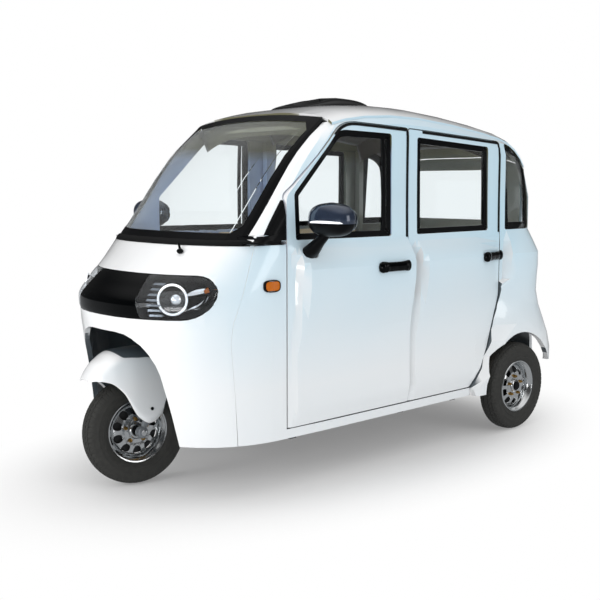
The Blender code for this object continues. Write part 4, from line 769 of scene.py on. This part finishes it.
for side, hand in HANDS:
    body = f"front_door_{hand}"
    heights = [TRAY_TOP + 0.002 + (MIRROR_HALF[2] - 0.0005 - TRAY_TOP) * math.sin(math.pi / 2 * k / 20)
               for k in range(21)]
    top = [mirror_section(side, heights[0], -0.004)] + [mirror_section(side, z) for z in heights[:-1]]
    top.append(mirror_section(side, MIRROR_HALF[2] - 0.0003))
    upper = piece_from(f"mirror_cover_{hand}", swept(top), cover_paint, body, crease=40)
    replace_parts(upper, f"door_mirror_{hand}")
    depth = MIRROR_HALF[2] + TRAY_TOP
    low_rows = [mirror_section(side, TRAY_TOP - GROOVE - depth * math.sin(math.pi / 2 * k / 16) * 0.995)
                for k in range(17)]
    low_rows.insert(0, mirror_section(side, TRAY_TOP + 0.004, -0.006))
    piece_from(f"mirror_tray_{hand}", swept(low_rows), black_abs, body, crease=40)
    # Painted highlight: a pale strip that glows along the cover's lower edge, in place of a lamp's reflection
    # there.
    strip = []
    for x in np.linspace(GLOW_STRIP_FROM, GLOW_STRIP_TO, 40):
        fade = 0.0
        if GLOW_STRIP_FROM < x < GLOW_STRIP_TO:
            fade = math.sin(math.pi * (x - GLOW_STRIP_FROM) / GLOW_STRIP_LONG) ** 0.35
        row = []
        for dz, proud in ((0.000, 0.000), (0.0005, 0.0016), (0.0095 * fade + 0.001, 0.0016),
                          (0.0100 * fade + 0.001, 0.0)):
            z = TRAY_TOP + 0.004 + dz
            c = 1 - (abs(z) / MIRROR_HALF[2]) ** MIRROR_POWER
            inside = max(0.02, c - (abs(x) / MIRROR_HALF[0]) ** MIRROR_POWER)
            y = MIRROR.y - MIRROR_HALF[1] * inside ** 0.4 - proud
            row.append((side * (MIRROR.x + x), y, MIRROR.z + z))
        strip.append(row)
    piece_from(f"mirror_highlight_strip_{hand}", swept(strip), guide_with_painted_glow, body)
    wide, tall = MIRROR_GLASS_HALF
    face = []
    for s, lift in ((1.0, -0.002), (1.0, 0.002), (0.97, 0.003)):
        face.append([(side * (MIRROR.x + wide * s * math.copysign(abs(math.cos(a)) ** 0.75, math.cos(a))),
                      MIRROR.y + MIRROR_FLAT + lift,
                      MIRROR.z + tall * s * math.copysign(abs(math.sin(a)) ** 0.75, math.sin(a)))
                     for a in np.linspace(0, math.tau, 64, endpoint=False)])
    piece_from(f"mirror_glass_{hand}", swept(face), mirror_glass, body)
    rows = []
    for i, (x, y, z, wide, thick) in enumerate(ARM):
        a, b = ARM[max(i - 1, 0)], ARM[min(i + 1, len(ARM) - 1)]
        run = Vector((b[0] - a[0], b[1] - a[1], b[2] - a[2])).normalized()
        flat = Vector((0, 1, 0))
        over = run.cross(flat).normalized()
        rows.append([Vector((x, y, z)) + flat * wide * math.cos(t) + over * thick * math.sin(t)
                     for t in np.linspace(0, math.tau, 28, endpoint=False)])
    rows = [[(side * p.x, p.y, p.z) for p in row] for row in rows]
    piece_from(f"mirror_arm_{hand}", swept(rows), black_abs, body, crease=50)

# The door handles: moulded black pull grips, bowed off the door in the middle for the fingers, with a
# rounded swell at each end that sits on the skin and takes its screw from inside.
HANDLE_HALF = 0.104
HANDLE_SHAPE = (  # place along the grip, half height and depth
    (-1.0, 0.004, 0.004), (-0.985, 0.014, 0.010), (-0.94, 0.022, 0.014), (-0.84, 0.0265, 0.0165),
    (-0.70, 0.0255, 0.0155), (-0.55, 0.0225, 0.012), (0.0, 0.0215, 0.010), (0.55, 0.0225, 0.012),
    (0.70, 0.0255, 0.0155), (0.84, 0.0265, 0.0165), (0.94, 0.022, 0.014), (0.985, 0.014, 0.010),
    (1.0, 0.004, 0.004))
for side, hand in HANDS:
    for door in ("front_door", "rear_door"):
        low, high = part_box(f"{door}_handle_{hand}")
        middle = Vector(((low[0] + high[0]) / 2, (low[1] + high[1]) / 2, (low[2] + high[2]) / 2))
        skin = skin_of(f"{door}_{hand}")
        profile = resampled(HANDLE_SHAPE, 0.05)
        rows = []
        for s, tall, deep in profile:
            y = middle.y + s * HANDLE_HALF
            base = cast_x(skin, side, y, middle.z)
            x = base + side * (0.8 * deep + 0.010 * (1 - s * s))
            rows.append([(x + side * deep * math.cos(a), y, middle.z + tall * math.sin(a))
                         for a in np.linspace(0, math.tau, 24, endpoint=False)])
        grip = piece_from(f"{door}_grip_{hand}", swept(rows), gloss_black, f"{door}_{hand}",
                          crease=50)
        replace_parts(grip, f"{door}_handle_{hand}")

# The roof pod: a gloss-black moulded air scoop screwed to the middle of the roof, a low rounded wedge that
# falls towards the front.
finish_nodes(gloss_black, ["roof_pod"])
POD_HALF = (0.215, 0.222)
POD_Y, POD_FALL = 0.050, 0.036
POD_BASE, POD_TOP = 1.672, 1.748
pod_rows = []
for k in range(15):
    s = k / 14
    grow = (1 - s ** 2.6) ** (1 / 2.6) if s < 1 else 0.02
    z = POD_BASE + (POD_TOP - POD_BASE) * s
    pod_rows.append([(POD_HALF[0] * grow * math.copysign(abs(math.cos(a)) ** 0.5, math.cos(a)),
                      POD_Y + POD_HALF[1] * grow * math.copysign(abs(math.sin(a)) ** 0.6, math.sin(a)),
                      z - POD_FALL * max(0.0, -math.sin(a)) * s)
                     for a in np.linspace(0, math.tau, 72, endpoint=False)])
pod = piece_from("roof_pod_shell", swept(pod_rows), gloss_black, "body", crease=60)
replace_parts(pod, "roof_pod")

# The tail lamps: red acrylic lenses with vertical flutes, screwed to the rear panel's corners over their
# bulbs.
# Red acrylic: dark red, fluted, light passes a little way into it.
red, tree, shader = start_material(
    "red_acrylic_lens", roughness=0.1, ior=1.49, base_color=linear("#a01414"), transmission_weight=0.25,
    coat_weight=0.5)
flutes = add_node(tree, "ShaderNodeTexWave", {"Scale": 42.0}, bands_direction="X")
add_node(tree, "ShaderNodeBump", {"Strength": 0.5, "Distance": 0.001, "Height": flutes.outputs["Fac"]},
         to=shader.inputs["Normal"])
finish_nodes(red, ["tail_lamp_left", "tail_lamp_right"])

# The tyres: 4.00-10 tubeless tricycle tyres in black rubber, with five ribs of blocks, sipes across them
# and raised rings round the side walls.
TREAD_PITCHES, PITCH_STEPS = 60, 6
TREAD_DEEP = 0.0038
# Tyre rubber: dull charcoal, greyer where road dust holds.
tyre_rubber, tree, shader = start_material(
    "tyre_rubber", roughness=0.72, base_color=linear("#18191a"), specular_ior_level=0.5)
bloom = patchy(tree, shader.inputs["Roughness"], 25.0, 5.0, 0.55, 0.85)
add_node(tree, "ShaderNodeMix", {0: bloom, 6: linear("#232322"), 7: linear("#3d3d3a")},
         to=shader.inputs["Base Color"], data_type="RGBA")


def tyre_mesh():
    """A treaded tyre about the X axis."""
    rows = [(-0.0300, 0.1290), (-0.0360, 0.1375), (-0.0405, 0.1430), (-0.0445, 0.1500), (-0.0475, 0.1580),
            (-0.0478, 0.1592), (-0.0490, 0.1612), (-0.0493, 0.1640), (-0.0480, 0.1652), (-0.0496, 0.1740),
            (-0.0500, 0.1840), (-0.0506, 0.1852), (-0.0506, 0.1872), (-0.0500, 0.1884)]
    crown = [-0.0497, -0.0485, -0.0470, -0.0450, -0.0425, -0.0395, -0.0365, -0.0345, -0.0340, -0.0315,
             -0.0310, -0.0285, -0.0250, -0.0215, -0.0180, -0.0150, -0.0145, -0.0120, -0.0115, -0.0090,
             -0.0060, -0.0030, 0.0]
    rows += [(x, 0.198 + 0.037 * (1 - (abs(x) / 0.05) ** 2.6) ** (1 / 2.6)) for x in crown]
    rows += [(-x, r) for x, r in reversed(rows[:-1])]
    rows += [(0.0300, 0.1400), (0.0, 0.2050), (-0.0300, 0.1400)]
    angles = np.linspace(0, math.tau, TREAD_PITCHES * PITCH_STEPS, endpoint=False)
    sections = []
    for k, a in enumerate(angles):
        section = []
        for x, r in rows:
            wide = abs(x)
            deep = 0.0
            if wide < 0.0498 and r > 0.198:
                phase = (k + (0 if x > 0 else 3)) % PITCH_STEPS
                if 0.0315 <= wide <= 0.0340 or 0.0120 <= wide <= 0.0145:
                    deep = TREAD_DEEP
                elif wide > 0.0340:
                    deep = 0.8 * TREAD_DEEP * (phase == 0)
                elif wide > 0.0145:
                    deep = 0.8 * TREAD_DEEP * ((k + int(wide * 160)) % PITCH_STEPS == 2)
                else:
                    deep = 0.5 * TREAD_DEEP * (k % PITCH_STEPS == 4)
            section.append((x, (r - deep) * math.cos(a), (r - deep) * math.sin(a)))
        sections.append(section)
    return swept(sections, round_trip=True)


CASTOR, TURNED_BY = 26, 9.5
AXLE_Y, AXLE_Z = -1.0775, 0.235
REAR_AXLE = (0.565, 0.9525, 0.235)
STEER = (Matrix.Translation((0, AXLE_Y, AXLE_Z)) @ Matrix.Rotation(math.radians(-CASTOR), 4, "X")
         @ Matrix.Rotation(math.radians(-TURNED_BY), 4, "Z"))
FRONT_WHEEL = STEER @ Matrix.Rotation(math.radians(CASTOR), 4, "X")
WHEELS = {
    "front_wheel": FRONT_WHEEL,
    "rear_wheel_left": Matrix.Translation(REAR_AXLE),
    "rear_wheel_right": (Matrix.Translation((-REAR_AXLE[0], *REAR_AXLE[1:]))
                         @ Matrix.Rotation(math.pi, 4, "Z")),
}
for name, place in WHEELS.items():
    tyre = piece_from(f"{name}_treaded_tyre", tyre_mesh(), tyre_rubber, name, crease=28,
                      matrix=place)
    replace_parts(tyre, f"{name}_tyre")

# The rims: polished alloy, with a rolled lip, a dished disc pierced by ten round openings, a raised hub
# with a black cap, and five brass-coloured nuts.
DISC_INNER, DISC_OUTER, DISC_WIDE = 0.034, 0.122, 0.088
DISC_HOLE = 0.0172
DISC_HOLE_CIRCLE = 0.0885
NUT_CIRCLE = 0.0515
# Cast alloy: polished bright, with faint marks of the polishing.
alloy, tree, shader = start_material(
    "polished_cast_alloy", metallic=1.0, roughness=0.14, base_color=linear("#e2e4e5"))
marks = patchy(tree, shader.inputs["Roughness"], 60.0, 4.0, 0.08, 0.26)
add_node(tree, "ShaderNodeBump", {"Strength": 0.15, "Distance": 0.0008, "Height": marks},
         to=shader.inputs["Normal"])
# Brass plating: warm yellow, dulled by tarnish.
brass, tree, shader = start_material(
    "brass_plated_nut", metallic=1.0, roughness=0.3, base_color=linear("#b08a4a"))
patchy(tree, shader.inputs["Roughness"], 300.0, 3.0, 0.22, 0.45)
# Cast iron: dark grey, with the rough skin of the casting.
cast_iron, tree, shader = start_material(
    "cast_iron_drum", metallic=0.7, roughness=0.5, base_color=linear("#3c3d3e"))
cast = add_node(tree, "ShaderNodeTexNoise", {"Scale": 220.0, "Detail": 5.0})
add_node(tree, "ShaderNodeBump", {"Strength": 0.4, "Distance": 0.0008, "Height": cast},
         to=shader.inputs["Normal"])


def turned(profile, count=96):
    """A ring turned about the X axis from x, radius points, closed on itself."""
    return swept([[(x, r * math.cos(a), r * math.sin(a)) for x, r in profile]
                  for a in np.linspace(0, math.tau, count, endpoint=False)], round_trip=True)


def circle(x, radius, count, y=0.0, z=0.0):
    """Points round a circle that faces along the X axis."""
    return [(x, y + radius * math.cos(a), z + radius * math.sin(a))
            for a in np.linspace(0, math.tau, count, endpoint=False)]


def disc_x(r):
    """x of the dished disc's face at a radius."""
    return float(np.interp(r, (0.030, 0.040, 0.052, 0.075, 0.100, 0.112, 0.120),
                           (0.026, 0.021, 0.019, 0.0225, 0.013, 0.004, -0.012)))


def pierced_disc():
    """The disc between hub and barrel about the X axis, made of ten like parts with a round hole in each."""
    bm = bmesh.new()
    span = math.pi / 10
    for k in range(10):
        middle = 2 * math.pi * (k + 0.5) / 10
        shares = np.linspace(0, 1, 9)[:-1]
        edge = [(DISC_INNER + DISC_WIDE * t, -span) for t in shares]
        edge += [(DISC_OUTER, -span + 2 * span * t) for t in shares]
        edge += [(DISC_OUTER - DISC_WIDE * t, span) for t in shares]
        edge += [(DISC_INNER, span - 2 * span * t) for t in shares]
        centre = Vector((DISC_HOLE_CIRCLE * math.cos(middle), DISC_HOLE_CIRCLE * math.sin(middle)))
        loops = [[] for _ in range(6)]
        for r, off in edge:
            p = Vector((r * math.cos(middle + off), r * math.sin(middle + off)))
            way = (p - centre).normalized()
            start = centre + way * DISC_HOLE
            for i, loop in enumerate(loops):
                q = start.lerp(p, (i / 5) ** 1.2)
                x = disc_x(q.length) - (0.004 if i == 0 else 0.0)
                loop.append(bm.verts.new((x, q.x, q.y)))
        for a, b in zip(loops, loops[1:]):
            for j in range(len(a)):
                n = (j + 1) % len(a)
                bm.faces.new((a[j], a[n], b[n], b[j]))
    bmesh.ops.remove_doubles(bm, verts=bm.verts, dist=2e-5)
    return bm


BARREL_PROFILE = (  # x and radius
    (-0.0356, 0.1385), (-0.0385, 0.1405), (-0.0415, 0.1385), (-0.0410, 0.1330), (-0.0360, 0.1290),
    (-0.0300, 0.1210), (-0.0100, 0.1160), (0.0120, 0.1170), (0.0290, 0.1225), (0.0350, 0.1300),
    (0.0410, 0.1330), (0.0420, 0.1380), (0.0388, 0.1405), (0.0356, 0.1385), (0.0290, 0.1275),
    (0.0100, 0.1240), (-0.0290, 0.1265))
DRUM_PROFILE = ((-0.026, 0.030), (-0.026, 0.100), (-0.004, 0.104), (0.000, 0.098), (-0.002, 0.060),
                (-0.002, 0.030))
HUB_PROFILE = ((-0.030, 0.014), (-0.030, 0.034), (0.020, 0.036), (0.028, 0.034), (0.031, 0.030),
               (0.0315, 0.026), (0.028, 0.024), (0.028, 0.014))
CAP_PROFILE = ((0.026, 0.0235), (0.036, 0.0225), (0.039, 0.0200), (0.0395, 0.0140))
NUT_PROFILE = ((0.012, 0.0085), (0.028, 0.0085), (0.030, 0.0065), (0.036, 0.0040))
for name, place in WHEELS.items():
    rim = piece_from(f"{name}_barrel", turned(BARREL_PROFILE), alloy, name, 50, place)
    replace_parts(rim, f"{name}_rim")
    thicken(piece_from(f"{name}_disc", pierced_disc(), alloy, name, 50, place), 0.005)
    piece_from(f"{name}_drum", turned(DRUM_PROFILE), cast_iron, name, 30, place)
    piece_from(f"{name}_hub", turned(HUB_PROFILE, 64), alloy, name, 40, place)
    cap = swept([circle(x, r, 40) for x, r in CAP_PROFILE])
    piece_from(f"{name}_cap", cap, black_abs, name, 40, place)
    for k in range(5):
        a = math.tau * (k + 0.25) / 5
        nut = swept([circle(x, r, 6, NUT_CIRCLE * math.cos(a), NUT_CIRCLE * math.sin(a))
                     for x, r in NUT_PROFILE])
        piece_from(f"{name}_nut_{k}", nut, brass, name, 30, place)

# The front fork: tubular steel legs in grey enamel, each ending in a silver cast clamp that holds the axle
# with a nut, and a rubber mud flap that hangs behind the tyre.
# Grey enamel: a silvery grey with patches of wear.
grey_enamel, tree, shader = start_material(
    "grey_enamelled_steel", metallic=0.5, roughness=0.35, base_color=linear("#8c9196"))
patchy(tree, shader.inputs["Roughness"], 90.0, 4.0, 0.25, 0.5)
finish_nodes(grey_enamel, ["front_fork"])
for side, hand in HANDS:
    clamp = swept([circle(side * x, r, 40) for x, r in
                   ((0.066, 0.019), (0.068, 0.022), (0.094, 0.022), (0.098, 0.019), (0.099, 0.012))])
    piece_from(f"fork_clamp_{hand}", clamp, grey_enamel, "steering", crease=30, matrix=STEER)
    nut = swept([circle(side * x, r, 6) for x, r in ((0.098, 0.0135), (0.108, 0.0135), (0.110, 0.0115))])
    piece_from(f"axle_nut_{hand}", nut, alloy, "steering", crease=30, matrix=STEER)
FLAP_SECTION = ((-0.062, 0.246), (0.0, 0.250), (0.062, 0.246), (0.062, 0.2495), (0.0, 0.2535),
                (-0.062, 0.2495))
FLAP_LEAN = ((-0.090, 0.0), (-0.05, 0.0), (0.0, 0.0), (0.06, 0.0), (0.12, -0.002), (0.17, -0.012),
             (0.21, -0.030), (0.25, -0.052), (0.28, -0.064))
flap = swept([[(x, y + lean, z + 0.012 * (abs(x) > 0.05)) for x, y in FLAP_SECTION] for z, lean in FLAP_LEAN])
piece_from("front_mud_flap", flap, epdm, "steering", matrix=FRONT_WHEEL)

# The front fender: a moulded hood in the body's paint over the wheel, with a lobe on each side that reaches
# down over the fork to the axle, and a dark bolt through each lobe.
FENDER_CROWN = ((-0.218, 0.250), (-0.204, 0.276), (-0.1665, 0.324), (-0.077, 0.3700), (0.027, 0.3765),
                (0.130, 0.338), (0.190, 0.290))
FENDER_EDGE = ((-0.218, 0.240), (-0.198, 0.246), (-0.146, 0.236), (-0.088, 0.188), (-0.0265, 0.077),
               (0.024, 0.044), (0.0855, 0.080), (0.115, 0.150), (0.155, 0.190), (0.190, 0.205))
FENDER_HALF = ((-0.218, 0.050), (-0.206, 0.070), (-0.171, 0.096), (-0.106, 0.116), (-0.016, 0.123),
               (0.190, 0.123))
FENDER_FRONT, FENDER_LONG = -0.218, 0.408
FENDER_ROUND, FENDER_POWER = 0.062, 2.2
BOLT_Y, BOLT_Z = 0.036, 0.105
crown, edge, half = smooth_line(FENDER_CROWN), smooth_line(FENDER_EDGE), smooth_line(FENDER_HALF)
rows = []
for s in np.linspace(0, 1, 61):
    y = FENDER_FRONT + FENDER_LONG * (s ** 1.4)
    deep = min(FENDER_ROUND, 0.9 * (crown(y) - edge(y)))
    line = [(half(y), edge(y) + (crown(y) - deep - edge(y)) * k / 7) for k in range(8)]
    line += [(half(y) * max(math.cos(a), 0) ** (2 / FENDER_POWER),
              crown(y) - deep + deep * math.sin(a) ** (2 / FENDER_POWER))
             for a in np.linspace(0, math.pi / 2, 15)[1:]]
    line += [(-x, z) for x, z in line[-2::-1]]
    rows.append([(x, y, z) for x, z in line])
fender = piece_from("front_fender_hood", swept(rows, ring=False), pearl_paint, "steering",
                    crease=60, matrix=FRONT_WHEEL)
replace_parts(thicken(fender, 0.005), "front_fender")
for side, hand in HANDS:
    bolt = swept([circle(side * x, r, 6, BOLT_Y, BOLT_Z) for x, r in
                  ((0.116, 0.008), (0.126, 0.008), (0.128, 0.006))])
    piece_from(f"fender_bolt_{hand}", bolt, black_abs, "steering", matrix=FRONT_WHEEL)

# The running gear: the chassis frame, the rear axle and the battery's box, of steel tube and plate welded
# together under a black powder coat.
# Powder coat: even black with a fine orange-peel texture.
powder_coat, tree, shader = start_material("black_powder_coat", roughness=0.5, base_color=linear("#1b1c1e"))
spray = add_node(tree, "ShaderNodeTexNoise", {"Scale": 500.0, "Detail": 2.0})
add_node(tree, "ShaderNodeBump", {"Strength": 0.2, "Distance": 0.0003, "Height": spray},
         to=shader.inputs["Normal"])
finish_nodes(powder_coat, ["chassis_frame", "rear_axle", "battery_box"])

# The cabin's hard trim: a moulded, grained dashboard, the handlebar with ringed rubber grips pushed onto
# its ends, and a ribbed mat laid on the floor.
finish_nodes(black_abs, ["dashboard"])
finish_nodes(black_abs, ["handlebar"])
GRIP_Y, GRIP_Z = 0.115, 0.905
for side, hand in HANDS:
    grip = [circle(side * x, r, 28, GRIP_Y, GRIP_Z) for k in range(13)
            for x, r in ((0.225 + 0.0085 * k, 0.0170), (0.229 + 0.0085 * k, 0.0182))]
    piece_from(f"handlebar_grip_{hand}", swept(grip), epdm, "steering", crease=50,
               matrix=STEER)
# Rubber mat: dull dark grey in narrow ribs.
rubber_mat, tree, shader = start_material("ribbed_rubber_mat", roughness=0.8, base_color=linear("#2a2a2b"))
ribs = add_node(tree, "ShaderNodeTexWave", {"Scale": 20.0}, bands_direction="X")
add_node(tree, "ShaderNodeBump", {"Strength": 0.3, "Distance": 0.002, "Height": ribs.outputs["Fac"]},
         to=shader.inputs["Normal"])
finish_nodes(rubber_mat, ["floor_pan"])

# The headliner: a moulded board clipped up under the roof, covered in olive speckled felt, which curves
# down along both sides.
LINER_HALF, LINER_EDGE = 0.452, 0.070
LINER_FRONT, LINER_REAR = -0.355, 1.040
LINER_GAP, LINER_THICK = 0.012, 0.006
# Felt: matt, speckled with pale fibres; its olive darkens towards the rear, a painted shade deeper in the
# cab.
liner_felt, tree, shader = start_material("olive_speckled_felt", roughness=0.95, sheen_weight=0.3)
place = add_node(tree, "ShaderNodeTexCoord")
speck = add_node(tree, "ShaderNodeTexNoise", {
    "Vector": place.outputs["Object"], "Scale": 160.0, "Detail": 5.0, "Roughness": 0.8})
parts = add_node(tree, "ShaderNodeSeparateXYZ", {0: place.outputs["Object"]})
# Painted shade: the felt is lighter near the windscreen and darker further back.
along = add_node(tree, "ShaderNodeMapRange", {
    "Value": parts.outputs["Y"], "From Min": -0.35, "From Max": 0.6})
olive_with_painted_shade = add_node(tree, "ShaderNodeMix", {0: along, 6: linear("#55533d"), 7: linear("#33291c")},
                data_type="RGBA")
spot = add_node(tree, "ShaderNodeMapRange", {"Value": speck, "From Min": 0.62, "From Max": 0.70})
add_node(tree, "ShaderNodeMix", {0: spot, 6: olive_with_painted_shade, 7: linear("#b9b59c")},
         to=shader.inputs["Base Color"], data_type="RGBA")
roof_skin = skin_of("roof_panel", "windscreen_surround", "cabin_frame")
rows = []
for y in np.linspace(LINER_FRONT, LINER_REAR, 48):
    hit = roof_skin.ray_cast(Vector((0.0, y, 1.2)), Vector((0, 0, 1)))[0]
    crown = hit.z if hit else 1.55
    rows.append([(LINER_HALF * s, y, crown - LINER_GAP - LINER_EDGE * abs(s) ** 3.0)
                 for s in np.linspace(-1, 1, 33)])
liner = piece_from("headliner", swept(rows, ring=False), liner_felt, "body", crease=60)
thicken(liner, LINER_THICK)

# The door cards: pressed boards covered in beige vinyl and clipped inside each door, with a padded ledge
# along the belt.
# Trim vinyl: warm beige with a leather grain and soft stains.
beige_vinyl, tree, shader = start_material("beige_trim_vinyl", roughness=0.55, base_color=linear("#d9c3a0"))
hide = add_node(tree, "ShaderNodeTexVoronoi", {"Scale": 420.0})
add_node(tree, "ShaderNodeBump", {"Strength": 0.25, "Distance": 0.0005, "Height": hide},
         to=shader.inputs["Normal"])
stain = add_node(tree, "ShaderNodeTexNoise", {"Scale": 6.0, "Detail": 4.0})
add_node(tree, "ShaderNodeMix", {0: stain, 6: linear("#d0b892"), 7: linear("#e2cdab")},
         to=shader.inputs["Base Color"], data_type="RGBA")
CARD_FRONT_GAP, CARD_REAR_GAP = 0.075, 0.060
CARD_SECTION = (  # x and z
    (0.4955, 0.330), (0.4880, 0.330), (0.4820, 0.345), (0.4820, 0.640), (0.4760, 0.660), (0.4760, 0.930),
    (0.4600, 0.960), (0.4540, 0.985), (0.4540, 1.030), (0.4600, 1.052), (0.4750, 1.062), (0.4955, 1.064))
for side, hand in HANDS:
    for door in ("front_door", "rear_door"):
        low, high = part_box(f"{door}_{hand}")
        rows = [[(side * x, y, z) for x, z in CARD_SECTION]
                for y in np.linspace(low[1] + CARD_FRONT_GAP, high[1] - CARD_REAR_GAP, 15)]
        piece_from(f"{door}_card_{hand}", swept(rows), beige_vinyl, f"{door}_{hand}", crease=25)

# The seats: foam cushions and backs in tan vinyl, sewn with rounded edges and two channels across each.
# Each is one soft closed form, blown up as cloth and set down on its base.
SEAT_VOXEL = 0.010
CORE_SHARE, CORE_ROUND = 0.93, 0.022
CHANNEL_DEEP, CHANNEL_HALF = 0.006, 0.012
SWELL_MOST = 0.022
CLOTH_STEPS = 20
# Seat vinyl: tan with a leather grain, shinier where it is sat on.
seat_vinyl, tree, shader = start_material("tan_seat_vinyl", roughness=0.45, base_color=linear("#b09a78"))
hide = add_node(tree, "ShaderNodeTexVoronoi", {"Scale": 500.0})
add_node(tree, "ShaderNodeBump", {"Strength": 0.3, "Distance": 0.0005, "Height": hide},
         to=shader.inputs["Normal"])
worn = patchy(tree, shader.inputs["Roughness"], 9.0, 4.0, 0.35, 0.6)
add_node(tree, "ShaderNodeMix", {0: worn, 6: linear("#a58f6e"), 7: linear("#bda883")},
         to=shader.inputs["Base Color"], data_type="RGBA")


def cushion(name, low, high, lean, channels, node=None):
    """A padded form in a box, leaned about its lower edge, with channels sewn across its width."""
    bm = bmesh.new()
    size = [b - a for a, b in zip(low, high)]
    middle = [(a + b) / 2 for a, b in zip(low, high)]
    bmesh.ops.create_cube(bm, size=1.0, matrix=Matrix.Translation(middle)
                          @ Matrix.Diagonal((*[CORE_SHARE * s for s in size], 1)))
    bmesh.ops.bevel(bm, geom=bm.edges[:], offset=CORE_ROUND, segments=4, affect="EDGES")
    piece = piece_from(name, bm, seat_vinyl, "body", crease=80)
    remesh = piece.modifiers.new("even", "REMESH")
    remesh.mode, remesh.voxel_size = "VOXEL", SEAT_VOXEL if size[0] < 0.6 else 1.5 * SEAT_VOXEL

    def apply_all():
        """The piece's modifiers made its own mesh."""
        graph = bpy.context.evaluated_depsgraph_get()
        made = bpy.data.meshes.new_from_object(piece.evaluated_get(graph))
        piece.modifiers.clear()
        piece.data = made
        made.shade_smooth()
    apply_all()
    rest = np.array([v.co for v in piece.data.vertices])
    cloth = piece.modifiers.new("stuffing", "CLOTH")
    cloth.settings.use_pressure = True
    cloth.settings.uniform_pressure_force = 4.0
    cloth.settings.effector_weights.gravity = 0.0
    cloth.settings.quality = 4
    cloth.collision_settings.use_collision = False
    cloth.point_cache.frame_start, cloth.point_cache.frame_end = 1, CLOTH_STEPS
    for step in range(1, CLOTH_STEPS + 1):
        bpy.context.scene.frame_set(step)
    apply_all()
    bpy.context.scene.frame_set(1)
    move = np.array([v.co for v in piece.data.vertices]) - rest
    reach = np.linalg.norm(move, axis=1, keepdims=True)
    move *= np.minimum(1.0, SWELL_MOST / np.maximum(reach, 1e-9))
    for v, p in zip(piece.data.vertices, rest + move):
        v.co = p
    along = 1 if size[1] > size[2] else 2
    top = 2 if along == 1 else 1
    for v in piece.data.vertices:
        for c in channels:
            off = abs(v.co[along] - (low[along] + c * size[along]))
            facing = v.co.z > middle[2] if top == 2 else v.co.y < middle[1]
            if off < CHANNEL_HALF and facing:
                v.co[top] += (-1 if top == 2 else 1) * CHANNEL_DEEP * (1 - (off / CHANNEL_HALF) ** 2)
    turn = Matrix.Translation((0, low[1], low[2])) @ Matrix.Rotation(math.radians(lean), 4, "X")
    piece.data.transform(turn @ Matrix.Translation((0, -low[1], -low[2])))
    if node:
        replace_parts(piece, node)


cushion("driver_cushion", (-0.235, -0.265, 0.470), (0.235, 0.195, 0.590), 0, (0.33, 0.66), "driver_seat")
cushion("driver_back", (-0.230, 0.175, 0.575), (0.230, 0.275, 1.025), -6, (0.33, 0.66))
cushion("bench_cushion", (-0.435, 0.590, 0.535), (0.435, 1.010, 0.655), 0, (0.33, 0.66), "rear_bench")
cushion("bench_back", (-0.435, 1.000, 0.640), (0.435, 1.095, 1.055), -3, (0.33, 0.66))

low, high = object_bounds()
